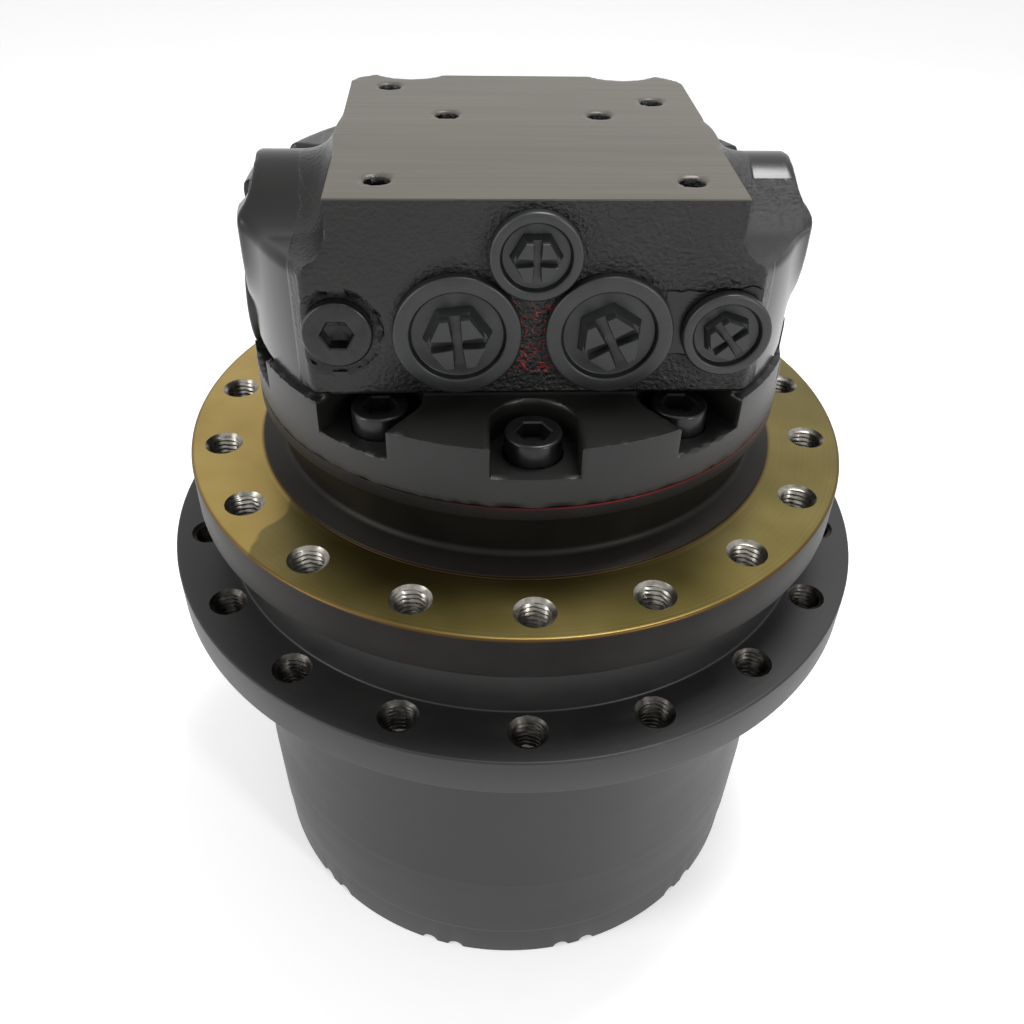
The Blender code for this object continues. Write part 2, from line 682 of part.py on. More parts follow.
def make_carrier(arm):
    """First planet carrier, with its three pins pressed in and joined to it."""
    hole = around(SPLINE_RADIUS + GAP, INNER_SEGMENTS)
    carrier = turned(
        "planet_carrier_1",
        [
            (hole, CARRIER_BOTTOM),
            (CARRIER_RADIUS, CARRIER_BOTTOM),
            (CARRIER_RADIUS, CARRIER_TOP),
            (hole, CARRIER_TOP),
        ],
        STEEL,
        INNER_SEGMENTS,
    )
    low = STAGE_1_BOTTOM
    pin = [
        (CARRIER_PIN_HEAD, low),
        (CARRIER_PIN_HEAD, low + PIN_HEAD_THICKNESS),
        (CARRIER_PIN_RADIUS, low + PIN_HEAD_THICKNESS),
        (CARRIER_PIN_RADIUS, CARRIER_BOTTOM + CARRIER_THICKNESS / 2),
    ]
    combine(carrier, headed_pins("carrier_pins", pin, arm, STAGE_1_PHASE), "UNION")


def headed_pins(name, pin, arm, phase):
    """Three stepped pins of (radius, height) sections, as one hidden operand."""
    mesh = bmesh.new()
    for x, y in on_circle(arm, PLANETS, phase):
        rings = [
            [mesh.verts.new((x + px, y + py, height)) for px, py in circle(radius, HOLE_SEGMENTS)]
            for radius, height in pin
        ]
        mesh.faces.new(rings[0])
        mesh.faces.new(rings[-1])
        for one, two in zip(rings, rings[1:]):
            for k in range(HOLE_SEGMENTS):
                after = (k + 1) % HOLE_SEGMENTS
                mesh.faces.new((one[k], one[after], two[after], two[k]))
    return hide(finish(name, mesh, None))


def make_spindle():
    """Spindle with the frame flange, neck, bearing seat, motor bore and planet trunnions."""
    ledge = around(BRAKE_LEDGE_BORE, INNER_SEGMENTS)
    bearing_low = MOTOR_FLOOR - SHAFT_BEARING_LENGTH
    bearing_seats = [
        (SHAFT_HOLE, SPINDLE_END_HEIGHT),
        (SPINDLE_RADIUS, SPINDLE_END_HEIGHT),
        (SPINDLE_RADIUS, SPINDLE_SHOULDER),
        (SPINDLE_RADIUS + BEARING_RING, SPINDLE_SHOULDER),
        (SPINDLE_RADIUS + BEARING_RING, COLLAR_TOP - SEAL_SEAT_DEPTH),
        (SEAL_INNER - 2 * GAP, FRAME_UNDER),
        (SEAL_INNER - 2 * GAP, FRAME_UNDER + SEAL_RECESS_DEPTH),
        (SEAL_SEAT, FRAME_UNDER + SEAL_RECESS_DEPTH),
        (SEAL_SEAT, FRAME_UNDER),
    ]
    outside = [
        (FRAME_FLANGE_RADIUS, FRAME_UNDER),
        (FRAME_FLANGE_RADIUS, FRAME_FACE - EDGE_BREAK),
        (FRAME_FLANGE_RADIUS - EDGE_BREAK, FRAME_FACE),
        (PILOT_RADIUS, FRAME_FACE),
        (PILOT_RADIUS, FRAME_FACE + PILOT_HEIGHT),
        (NECK_RADIUS, FRAME_FACE + PILOT_HEIGHT + NECK_FOOT),
        (NECK_RADIUS, FRAME_FACE + NECK_HEIGHT - SEAM_CHAMFER),
        (SEAM_RADIUS, FRAME_FACE + NECK_HEIGHT),
        (SEAM_RADIUS, SEAM - GAP),
    ]
    motor_bore = [
        (MOTOR_BORE, SEAM - GAP),
        (MOTOR_BORE, BRAKE_LEDGE),
        (ledge, BRAKE_LEDGE),
        (ledge, MOTOR_FLOOR),
        (SHAFT_BEARING_RADIUS, MOTOR_FLOOR),
        (SHAFT_BEARING_RADIUS, bearing_low),
        (SHAFT_HOLE, bearing_low),
    ]
    profile = coarse(bearing_seats) + outside + coarse(motor_bore)
    spindle = turned("spindle", profile, YELLOW_ZINC)
    frame_holes = tapped_circle("frame_holes", FRAME_BOLT_RADIUS, FRAME_BOLT_PHASE, FRAME_UNDER, FRAME_FACE)
    combine(spindle, frame_holes, "DIFFERENCE")
    shank = circle(around(SCREW_SHANK + HOLE_CLEARANCE, HOLE_SEGMENTS), HOLE_SEGMENTS)
    depth = SEAM - SCREW_LENGTH
    prisms = [(at(shank, x, y), depth, SEAM + OVERRUN) for x, y in screw_places()]
    combine(spindle, cutter("screw_threads", prisms), "DIFFERENCE")
    arm = MODULE * (SUN_2_TEETH + PLANET_2_TEETH) / 2
    pin = [
        (TRUNNION_HEAD, TRUNNION_END),
        (TRUNNION_HEAD, TRUNNION_END + TRUNNION_HEAD_THICKNESS),
        (TRUNNION_RADIUS, TRUNNION_END + TRUNNION_HEAD_THICKNESS),
        (TRUNNION_RADIUS, SPINDLE_END_HEIGHT + OVERRUN),
    ]
    combine(spindle, headed_pins("trunnions", pin, arm, STAGE_2_PHASE), "UNION")


def make_bearings():
    """Two ball bearings, their nut, and the two halves of the floating seal."""
    inner_out = SPINDLE_RADIUS + GAP + BEARING_RING
    outer_in = BEARING_OUTER - BEARING_RING
    middle = (inner_out + outer_in) / 2
    bore = SPINDLE_RADIUS + GAP
    race = around(outer_in, INNER_SEGMENTS)
    for name, low in (("lower", LOWER_BEARING), ("upper", UPPER_BEARING)):
        low = low + GAP
        high = low + BEARING_LENGTH - 2 * GAP
        turned(
            name + "_bearing_inner_ring",
            [
                (bore, low),
                (inner_out, low),
                (inner_out, high),
                (bore, high),
            ],
            STEEL,
            INNER_SEGMENTS,
        )
        turned(
            name + "_bearing_outer_ring",
            [(race, low), (BEARING_OUTER, low), (BEARING_OUTER, high), (race, high)],
            STEEL,
            INNER_SEGMENTS,
        )
        cage = BALL_RADIUS / 3
        centre = (low + high) / 2
        half = BEARING_LENGTH / 3
        made = turned(
            name + "_bearing_balls",
            [
                (middle - cage, centre - half),
                (middle + cage, centre - half),
                (middle + cage, centre + half),
                (middle - cage, centre + half),
            ],
            STEEL,
            2 * BALLS_PER_ROW,
        )
        mesh = bmesh.new()
        for x, y in on_circle(middle, BALLS_PER_ROW):
            ball = bmesh.ops.create_icosphere(mesh, subdivisions=1, radius=BALL_RADIUS)
            bmesh.ops.translate(mesh, vec=(x, y, centre), verts=ball["verts"])
        combine(made, hide(finish(name + "_balls", mesh, None)), "UNION")
    nut = turned(
        "bearing_nut",
        [
            (bore, SPINDLE_END_HEIGHT + GAP),
            (NUT_RADIUS, SPINDLE_END_HEIGHT + GAP),
            (NUT_RADIUS, SPINDLE_END_HEIGHT + NUT_LENGTH),
            (bore, SPINDLE_END_HEIGHT + NUT_LENGTH),
        ],
        STEEL,
        INNER_SEGMENTS,
    )
    half = NUT_SLOT / 2
    prisms = []
    for k in range(NUT_SLOTS):
        angle = 2 * pi * k / NUT_SLOTS
        near, far = NUT_RADIUS - half, NUT_RADIUS + half
        corners = ((near, -half), (far, -half), (far, half), (near, half))
        outline = [(x * cos(angle) - y * sin(angle), x * sin(angle) + y * cos(angle)) for x, y in corners]
        prisms.append((outline, SPINDLE_END_HEIGHT - OVERRUN, SPINDLE_END_HEIGHT + NUT_LENGTH + OVERRUN))
    combine(nut, cutter("nut_slots", prisms), "DIFFERENCE")
    make_seal()


def make_seal():
    """Two lapped metal rings, each carried by a rubber ring."""
    floor = COLLAR_TOP - SEAL_SEAT_DEPTH
    ceiling = FRAME_UNDER + SEAL_RECESS_DEPTH
    middle = (floor + ceiling) / 2
    cord = (SEAL_OUTER + SEAL_SEAT) / 2
    inner = around(SEAL_INNER, INNER_SEGMENTS)
    for name, direction, seat in (("housing", -1, floor), ("frame", 1, ceiling)):
        face = middle + direction * GAP / 2
        back = face + direction * SEAL_RING_HEIGHT
        turned(
            name + "_seal_ring",
            [
                (inner, face),
                (SEAL_OUTER + SEAL_FACE, face),
                (SEAL_OUTER, back),
                (inner, back),
            ],
            STEEL,
            INNER_SEGMENTS,
        )
        height = seat - direction * (SEAL_CORD + GAP)
        section = circle(SEAL_CORD, SEAL_CORD_SEGMENTS, direction * pi / 2)
        turned(name + "_seal_rubber", [(cord + x, height + y) for x, y in section], RUBBER, INNER_SEGMENTS)


def make_motor():
    """Axial piston motor with its parking brake, inside the spindle."""
    mesh = bmesh.new()
    outline = circle(SWASH_RADIUS, INNER_SEGMENTS)
    low = [mesh.verts.new((x, y, SWASH_BOTTOM)) for x, y in outline]
    rise = tan(SWASH_ANGLE)
    high = [mesh.verts.new((x, y, SWASH_BOTTOM + SWASH_FOOT + (SWASH_RADIUS + y) * rise)) for x, y in outline]
    mesh.faces.new(low)
    mesh.faces.new(high)
    for k in range(len(outline)):
        after = (k + 1) % len(outline)
        mesh.faces.new((low[k], low[after], high[after], high[k]))
    swash = finish("swash_plate", mesh, STEEL)
    hole = circle(SWASH_HOLE, SMALL_SEGMENTS)
    combine(swash, cutter("swash_hole", [(hole, SWASH_BOTTOM - OVERRUN, SWASH_TOP + OVERRUN)]), "DIFFERENCE")
    shaft_bore = around(SHAFT_RADIUS + GAP, INNER_SEGMENTS)
    barrel = turned(
        "cylinder_barrel",
        [
            (shaft_bore, BARREL_BOTTOM),
            (BARREL_RADIUS, BARREL_BOTTOM),
            (BARREL_RADIUS, BARREL_TOP),
            (shaft_bore, BARREL_TOP),
        ],
        STEEL,
        INNER_SEGMENTS,
    )
    bores = circle(PISTON_RADIUS + GAP, PISTON_SEGMENTS)
    places = on_circle(PISTON_CIRCLE, PISTONS)
    prisms = [(at(bores, x, y), BARREL_BOTTOM - OVERRUN, BARREL_TOP + OVERRUN) for x, y in places]
    combine(barrel, cutter("barrel_bores", prisms), "DIFFERENCE")
    shoe_low = SWASH_TOP + GAP
    plate_low = shoe_low + SHOE_PLATE_LIFT
    plate = turned(
        "piston_set",
        [
            (SWASH_HOLE, plate_low),
            (SHOE_PLATE_RADIUS, plate_low),
            (SHOE_PLATE_RADIUS, plate_low + SHOE_PLATE_THICKNESS),
            (SWASH_HOLE, plate_low + SHOE_PLATE_THICKNESS),
        ],
        STEEL,
        INNER_SEGMENTS,
    )
    shoe = circle(SHOE_RADIUS, HOLE_SEGMENTS)
    rod = circle(PISTON_RADIUS, PISTON_SEGMENTS)
    shoes = cutter("shoes", [(at(shoe, x, y), shoe_low, shoe_low + SHOE_THICKNESS) for x, y in places])
    rod_low = plate_low + ROD_SINK
    rods = cutter("rods", [(at(rod, x, y), rod_low, shoe_low + PISTON_LENGTH) for x, y in places])
    combine(plate, shoes, "UNION")
    combine(plate, rods, "UNION")
    make_shaft()
    turned_valve_plate(shaft_bore)
    make_brake()


def make_shaft():
    """Drive shaft with the first sun gear cut on its outer end."""
    root = MODULE * SUN_1_TEETH / 2 - DEDENDUM_SHARE * MODULE - GAP
    pad = COVER_SEAT_HEIGHT + THRUST_PAD_HEIGHT + RUNNING_GAP
    sun_low = STAGE_1_BOTTOM + PIN_HEAD_THICKNESS
    collar_high = MOTOR_FLOOR + SHAFT_COLLAR_LENGTH
    shaft = turned(
        "drive_shaft",
        [
            (0, pad),
            (THRUST_PAD - RUNNING_GAP, pad),
            (root, sun_low - GAP),
            (root, STAGE_1_TOP),
            (SHAFT_RADIUS, STAGE_1_TOP),
            (SHAFT_RADIUS, MOTOR_FLOOR + GAP),
            (SHAFT_COLLAR, MOTOR_FLOOR + GAP),
            (SHAFT_COLLAR, collar_high),
            (SHAFT_RADIUS, collar_high),
            (SHAFT_RADIUS, SPIGOT_FACE + SPIGOT_HEIGHT),
            (0, SPIGOT_FACE + SPIGOT_HEIGHT),
        ],
        STEEL,
        SUN_1_TEETH,
    )
    phase = STAGE_1_PHASE + pi / SUN_1_TEETH
    teeth = cutter("sun_1_teeth", [(toothed(SUN_1_TEETH, phase), sun_low, STAGE_1_TOP - GAP)])
    combine(shaft, teeth, "UNION")
    low = MOTOR_FLOOR - SHAFT_BEARING_LENGTH + GAP
    bore = around(SHAFT_RADIUS + GAP, INNER_SEGMENTS)
    turned(
        "shaft_bearing",
        [
            (bore, low),
            (SHAFT_BEARING_RADIUS - GAP, low),
            (SHAFT_BEARING_RADIUS - GAP, MOTOR_FLOOR - GAP),
            (bore, MOTOR_FLOOR - GAP),
        ],
        STEEL,
        INNER_SEGMENTS,
    )


def turned_valve_plate(shaft_bore):
    """Valve plate with its two kidney ports."""
    low = VALVE_PLATE_BOTTOM
    high = SPIGOT_FACE - GAP
    plate = turned(
        "valve_plate",
        [(shaft_bore, low), (BARREL_RADIUS, low), (BARREL_RADIUS, high), (shaft_bore, high)],
        BRASS,
        INNER_SEGMENTS,
    )
    prisms = []
    wide = PISTON_CIRCLE + KIDNEY_WIDTH / 2
    narrow = PISTON_CIRCLE - KIDNEY_WIDTH / 2
    for start in (KIDNEY_START, KIDNEY_START + pi):
        angles = [start + k * KIDNEY_SWEEP / KIDNEY_STEPS for k in range(KIDNEY_STEPS + 1)]
        outer = [(wide * cos(a), wide * sin(a)) for a in angles]
        inner = [(narrow * cos(a), narrow * sin(a)) for a in angles]
        prisms.append((outer + inner[::-1], low - OVERRUN, high + OVERRUN))
    combine(plate, cutter("kidneys", prisms), "DIFFERENCE")


def make_brake():
    """Parking brake: two friction discs, a separator, the brake piston and its disc spring."""
    disc_in = around(BARREL_RADIUS + GAP, INNER_SEGMENTS)
    disc_out = BARREL_RADIUS + DISC_INNER_LAP
    low = BRAKE_LEDGE + GAP
    for name in ("friction_disc_a", "separator_disc", "friction_disc_b"):
        inner, outer = disc_in, disc_out + BRAKE_DISC_ROOM
        finish_material = FRICTION
        if name == "separator_disc":
            inner, outer = around(MOTOR_BORE - PLATE_OUTER_LAP, INNER_SEGMENTS), MOTOR_BORE - GAP
            finish_material = STEEL
        turned(
            name,
            [(inner, low), (outer, low), (outer, low + DISC_THICKNESS), (inner, low + DISC_THICKNESS)],
            finish_material,
            INNER_SEGMENTS,
        )
        low = low + DISC_THICKNESS + GAP
    inner = around(BARREL_RADIUS + 2 * RUNNING_GAP, INNER_SEGMENTS)
    high = low + BRAKE_PISTON_LENGTH
    skirt = low + BRAKE_PISTON_LENGTH / 3
    turned(
        "brake_piston",
        [
            (inner, low),
            (MOTOR_BORE - BRAKE_DISC_ROOM, low),
            (MOTOR_BORE - BRAKE_DISC_ROOM, skirt),
            (MOTOR_BORE - GAP, skirt),
            (MOTOR_BORE - GAP, high),
            (inner, high),
        ],
        STEEL,
        INNER_SEGMENTS,
    )
    top = SPIGOT_FACE - GAP
    bottom = high + GAP
    turned(
        "brake_spring",
        [
            (MOTOR_BORE - RUNNING_GAP - BRAKE_SPRING_THICKNESS, bottom),
            (MOTOR_BORE - RUNNING_GAP, bottom),
            (MOTOR_BORE - RUNNING_GAP, bottom + BRAKE_SPRING_THICKNESS),
            (inner + BRAKE_SPRING_THICKNESS, top),
            (inner, top),
            (inner, top - BRAKE_SPRING_THICKNESS),
        ],
        STEEL,
        INNER_SEGMENTS,
    )


def screw_places():
    """Places of the ten cap screws; one is at the middle of the port face."""
    return on_circle(SCREW_PITCH_RADIUS, SCREWS, SCREW_PHASE)


def pocket_outline(x, y):
    """Screw pocket that opens outwards through the drum's wall."""
    angle = atan2(y, x)
    outward = SEAM_RADIUS - SCREW_PITCH_RADIUS + OVERRUN
    turns = [pi / 2 + k * pi / POCKET_STEPS for k in range(POCKET_STEPS + 1)]
    points = [(POCKET_RADIUS * cos(a), POCKET_RADIUS * sin(a)) for a in turns]
    points += [(outward, -POCKET_RADIUS), (outward, POCKET_RADIUS)]
    c, s = cos(angle), sin(angle)
    return [(x + px * c - py * s, y + px * s + py * c) for px, py in points]


def make_block():
    """Port block: round foot, drum with a flat port face, tower with the top pad, spool bosses."""
    base = SEAM
    ledge = base + BLOCK_LEDGE_HEIGHT
    shoulder = base + SHOULDER_HEIGHT
    shaft_hole = around(SHAFT_RADIUS + RUNNING_GAP, INNER_SEGMENTS)
    top_of_hole = base + SPIGOT_HEIGHT
    inside = [
        (0, top_of_hole),
        (shaft_hole, top_of_hole),
        (shaft_hole, SPIGOT_FACE),
        (MOTOR_BORE - GAP, SPIGOT_FACE),
        (MOTOR_BORE - GAP, base),
        (O_RING_RADIUS - O_RING_GROOVE, base),
        (O_RING_RADIUS - O_RING_GROOVE, base + O_RING_GROOVE),
        (O_RING_RADIUS + O_RING_GROOVE, base + O_RING_GROOVE),
        (O_RING_RADIUS + O_RING_GROOVE, base),
    ]
    outside = [
        (SEAM_RADIUS, base),
        (SEAM_RADIUS, ledge),
        (BLOCK_RADIUS, ledge + EDGE_BREAK),
        (BLOCK_RADIUS, shoulder - SHOULDER_BREAK),
        (BLOCK_RADIUS - SHOULDER_BREAK, shoulder),
        (0, shoulder),
    ]
    profile = coarse(inside) + outside
    block = turned("port_block", profile, BLACK_PAINT)
    front = FACE_Y
    reach = SPROCKET_FLANGE_RADIUS
    face_low = ledge + BLOCK_LEDGE_RISE
    cut = [(-reach, -reach), (reach, -reach), (reach, front), (-reach, front)]
    top = base + TOP_HEIGHT
    combine(block, cutter("port_face_cut", [(cut, face_low, top + OVERRUN)]), "DIFFERENCE")
    half = TOWER_HALF_WIDTH
    outline = rounded_rectangle(-half, half, front, TOWER_BACK, TOWER_CORNER, TOWER_CORNER_STEPS)
    tower = cutter("tower", [(outline, shoulder - OVERRUN, top)])
    combine(block, tower, "UNION")
    boss_z = base + SPOOL_BOSS_HEIGHT
    bosses = turned(
        "spool_bosses",
        [
            (0, -SPOOL_BOSS_REACH),
            (SPOOL_BOSS_RADIUS, -SPOOL_BOSS_REACH),
            (SPOOL_BOSS_RADIUS, SPOOL_BOSS_REACH),
            (0, SPOOL_BOSS_REACH),
        ],
        None,
        INNER_SEGMENTS,
        turn=lying(0, SPOOL_BOSS_OFFSET, boss_z, (1, 0)),
    )
    combine(block, hide(bosses), "UNION")
    weld(block)
    seat = circle(around(SPOOL_CAP_RADIUS + HOLE_CLEARANCE, SMALL_SEGMENTS), SMALL_SEGMENTS)
    seat_low = SPOOL_BOSS_REACH - SPOOL_SEAT_DEPTH
    for name, side in (("left_spool_seat", -1), ("right_spool_seat", 1)):
        outward = lying(0, SPOOL_BOSS_OFFSET, boss_z, (side, 0))
        combine(block, cutter(name, [(seat, seat_low, SEAM_RADIUS + OVERRUN)], outward), "DIFFERENCE")
    weld(block)
    pad_z = base + SIDE_PAD_HEIGHT
    disc = circle(around(SIDE_PAD_RADIUS + HOLE_CLEARANCE, DISC_SEGMENTS), DISC_SEGMENTS)
    spot = [(disc, SIDE_PAD_REACH, SEAM_RADIUS + OVERRUN)]
    spot_place = lying(0, SIDE_PAD_OFFSET, pad_z, (-1, 0))
    combine(block, cutter("side_pad", spot, spot_place), "DIFFERENCE")
    scallop = circle(SCALLOP_RADIUS, INNER_SEGMENTS)
    middle = TOWER_BACK + SCALLOP_RADIUS - SCALLOP_DEPTH
    sides = (-SCALLOP_OFFSET, SCALLOP_OFFSET)
    prisms = [(at(scallop, x, middle), shoulder + GAP, top + OVERRUN) for x in sides]
    combine(block, cutter("scallops", prisms), "DIFFERENCE")
    places = screw_places()
    floor = base + POCKET_FLOOR
    prisms = []
    for x, y in places:
        roof = shoulder + OVERRUN if y > 0 else floor + POCKET_HEIGHT
        prisms.append((pocket_outline(x, y), floor, roof))
    combine(block, cutter("screw_pockets", prisms), "DIFFERENCE")
    seat = circle(around(SCREW_HEAD + HOLE_CLEARANCE, HOLE_SEGMENTS), HOLE_SEGMENTS)
    shank = circle(around(SCREW_SHANK + HOLE_CLEARANCE, HOLE_SEGMENTS), HOLE_SEGMENTS)
    seat_low = base + SCREW_SEAT
    prisms = [(at(seat, x, y), seat_low, floor + OVERRUN) for x, y in places]
    combine(block, cutter("screw_seats", prisms), "DIFFERENCE")
    prisms = [(at(shank, x, y), base - OVERRUN, floor) for x, y in places]
    combine(block, cutter("screw_holes", prisms), "DIFFERENCE")
    hole = circle(PAD_HOLE, HOLE_SEGMENTS)
    prisms = [(at(hole, x, y), top - PAD_HOLE_DEPTH, top + OVERRUN) for x, y in pad_hole_places()]
    combine(block, cutter("pad_holes", prisms), "DIFFERENCE")
    bore_half = SPOOL_BOSS_REACH - SPOOL_CAP_LENGTH + OVERRUN
    bore = [(circle(around(SPOOL_BORE, SMALL_SEGMENTS), SMALL_SEGMENTS), -bore_half, bore_half)]
    combine(block, cutter("spool_bore", bore, lying(0, SPOOL_BOSS_OFFSET, boss_z, (1, 0))), "DIFFERENCE")
    make_spool(block, boss_z)
    make_side_cover(block, pad_z)
    make_screws(places, seat_low)
    make_plugs(block)
    weld(block)
    ring_height = base + O_RING_CORD
    section = [(O_RING_RADIUS + x, ring_height + y) for x, y in circle(O_RING_CORD, O_RING_SEGMENTS)]
    turned("block_seal_ring", section, RUBBER, INNER_SEGMENTS)


def pad_hole_places():
    """Places of the top pad's tapped holes."""
    places = []
    for across, along in PAD_HOLE_MARGINS:
        side = TOWER_HALF_WIDTH if across > 0 else -TOWER_HALF_WIDTH
        end = TOWER_BACK if along > 0 else FACE_Y
        places.append((side - across, end - along))
    return places


def make_spool(block, boss_z):
    """Counterbalance spool and the two caps that close its bore."""
    laying = lying(0, SPOOL_BOSS_OFFSET, boss_z, (1, 0))
    half = SPOOL_LENGTH / 2
    land = SPOOL_BORE - GAP
    end = half - SPOOL_LAND
    start = SPOOL_MIDDLE_LAND
    upper = [(land, start), (SPOOL_WAIST, start), (SPOOL_WAIST, end), (land, end), (land, half), (0, half)]
    profile = [(radius, -height) for radius, height in upper[::-1]] + upper
    turned("counterbalance_spool", profile, STEEL, SMALL_SEGMENTS, turn=laying)
    thread = circle(around(SPOOL_CAP_THREAD + GAP, SMALL_SEGMENTS), SMALL_SEGMENTS)
    low = SPOOL_BOSS_REACH - SPOOL_CAP_LENGTH - GAP
    seat = SPOOL_BOSS_REACH - SPOOL_SEAT_DEPTH + GAP
    for name, side in (("spool_cap_left", -1), ("spool_cap_right", 1)):
        outward = lying(0, SPOOL_BOSS_OFFSET, boss_z, (side, 0))
        combine(block, cutter(name + "_thread", [(thread, low, SPOOL_BOSS_REACH)], outward), "DIFFERENCE")
        cap = turned(
            name,
            [
                (0, low + GAP),
                (SPOOL_CAP_THREAD, low + GAP),
                (SPOOL_CAP_THREAD, seat),
                (SPOOL_CAP_RADIUS, seat),
                (SPOOL_CAP_RADIUS, seat + SPOOL_CAP_HEAD),
                (0, seat + SPOOL_CAP_HEAD),
            ],
            BLACK_STEEL,
            SMALL_SEGMENTS,
            turn=outward,
        )
        socket = [(circle(SPOOL_CAP_HEX, 6), seat - SPOOL_CAP_HEAD, seat + SPOOL_CAP_HEAD + OVERRUN)]
        combine(cap, cutter(name + "_socket", socket, outward), "DIFFERENCE")


def make_side_cover(block, pad_z):
    """Round cover on the left side pad."""
    outward = lying(0, SIDE_PAD_OFFSET, pad_z, (-1, 0))
    bore = circle(around(SIDE_COVER_BORE, DISC_SEGMENTS), DISC_SEGMENTS)
    low = SIDE_PAD_REACH - SIDE_COVER_SPIGOT - GAP
    combine(block, cutter("side_bore", [(bore, low, SIDE_PAD_REACH + OVERRUN)], outward), "DIFFERENCE")
    seat = SIDE_PAD_REACH + GAP
    turned(
        "side_cover",
        [
            (0, low + GAP),
            (SIDE_COVER_BORE - GAP, low + GAP),
            (SIDE_COVER_BORE - GAP, seat),
            (SIDE_PAD_RADIUS, seat),
            (SIDE_PAD_RADIUS, seat + SIDE_COVER_THICKNESS - EDGE_BREAK),
            (SIDE_PAD_RADIUS - EDGE_BREAK, seat + SIDE_COVER_THICKNESS),
            (0, seat + SIDE_COVER_THICKNESS),
        ],
        BLACK_PLASTIC,
        DISC_SEGMENTS,
        turn=outward,
    )


def make_screws(places, seat_low):
    """Ten socket head cap screws."""
    for k, (x, y) in enumerate(places):
        low = SEAM - SCREW_LENGTH + GAP
        seat = seat_low + GAP
        top = seat + SCREW_HEAD_HEIGHT
        screw = turned(
            "block_screw_" + "abcdefghij"[k],
            [
                (0, low),
                (SCREW_SHANK, low),
                (SCREW_SHANK, seat),
                (SCREW_HEAD, seat),
                (SCREW_HEAD, top),
                (0, top),
            ],
            BLACK_STEEL,
            SMALL_SEGMENTS,
            (x, y),
        )
        socket = at(circle(SCREW_SOCKET, 6), x, y)
        hexagon = cutter(screw.name + "_socket", [(socket, top - SCREW_SOCKET_DEPTH, top + OVERRUN)])
        combine(screw, hexagon, "DIFFERENCE")


def make_plugs(block):
    """Four plastic port plugs and one steel plug in the port face."""
    plugs = (
        ("port_plug_left", MAIN_PLUG, -MAIN_PLUG_SPREAD, PLUG_HEIGHT),
        ("port_plug_right", MAIN_PLUG, MAIN_PLUG_SPREAD, PLUG_HEIGHT),
        ("drain_plug", SMALL_PLUG, 0, TOP_PLUG_HEIGHT),
        ("pilot_plug", SMALL_PLUG, OUTER_PLUG_SPREAD, PLUG_HEIGHT),
    )
    for name, size, x, height in plugs:
        outward = lying(x, FACE_Y, SEAM + height, (0, -1))
        bore = circle(around(size["shank"] + GAP, SMALL_SEGMENTS), SMALL_SEGMENTS)
        combine(block, cutter(name + "_port", [(bore, -PORT_DEPTH, OVERRUN)], outward), "DIFFERENCE")
        top = PLUG_FLANGE_THICKNESS
        floor = top - PLUG_RECESS_DEPTH
        plug = turned(
            name,
            [
                (0, -PLUG_SHANK_LENGTH),
                (size["shank"], -PLUG_SHANK_LENGTH),
                (size["shank"], GAP),
                (size["flange"], GAP),
                (size["flange"], top),
                (size["recess"], top),
                (size["recess"], floor),
                (0, floor),
            ],
            BLACK_PLASTIC,
            INNER_SEGMENTS,
            turn=outward,
        )
        hexagon = circle(size["hexagon"], 6, size["slot_turn"])
        hex_floor = top - PLUG_HEX_DEPTH
        combine(plug, cutter(name + "_hex", [(hexagon, hex_floor, top + OVERRUN)], outward), "DIFFERENCE")
        reach = size["hexagon"] * cos(pi / 6) - PLUG_SLOT
        half = PLUG_SLOT / 2
        cross = [(reach, half), (half, half), (half, reach), (-half, reach), (-half, half), (-reach, half)]
        cross += [(-x, -y) for x, y in cross]
        turned_cross = []
        for px, py in cross:
            c, s = cos(size["slot_turn"]), sin(size["slot_turn"])
            turned_cross.append((px * c - py * s, px * s + py * c))
        slot_low = hex_floor - PLUG_SLOT_DEPTH
        slots = cutter(name + "_slots", [(turned_cross, slot_low, hex_floor + OVERRUN)], outward)
        combine(plug, slots, "DIFFERENCE")
    outward = lying(-OUTER_PLUG_SPREAD, FACE_Y, SEAM + PLUG_HEIGHT, (0, -1))
    spot = [(circle(around(STEEL_PLUG_SPOT, DISC_SEGMENTS), DISC_SEGMENTS), -STEEL_PLUG_SPOT_DEPTH, OVERRUN)]
    combine(block, cutter("steel_plug_spot", spot, outward), "DIFFERENCE")
    bore = circle(around(SMALL_PLUG["shank"] + GAP, SMALL_SEGMENTS), SMALL_SEGMENTS)
    combine(block, cutter("steel_plug_port", [(bore, -PORT_DEPTH, 0)], outward), "DIFFERENCE")
    steel = turned(
        "steel_plug",
        [
            (0, -PLUG_SHANK_LENGTH),
            (SMALL_PLUG["shank"], -PLUG_SHANK_LENGTH),
            (SMALL_PLUG["shank"], GAP - STEEL_PLUG_SPOT_DEPTH),
            (STEEL_PLUG_HEAD, GAP - STEEL_PLUG_SPOT_DEPTH),
            (STEEL_PLUG_HEAD, STEEL_PLUG_PROUD - EDGE_BREAK),
            (STEEL_PLUG_HEAD - EDGE_BREAK, STEEL_PLUG_PROUD),
            (0, STEEL_PLUG_PROUD),
        ],
        BLACK_STEEL,
        DISC_SEGMENTS,
        turn=outward,
    )
    socket = [(circle(SCREW_SOCKET, 6), STEEL_PLUG_PROUD - SCREW_SOCKET_DEPTH, STEEL_PLUG_PROUD + OVERRUN)]
    combine(steel, cutter("steel_plug_socket", socket, outward), "DIFFERENCE")


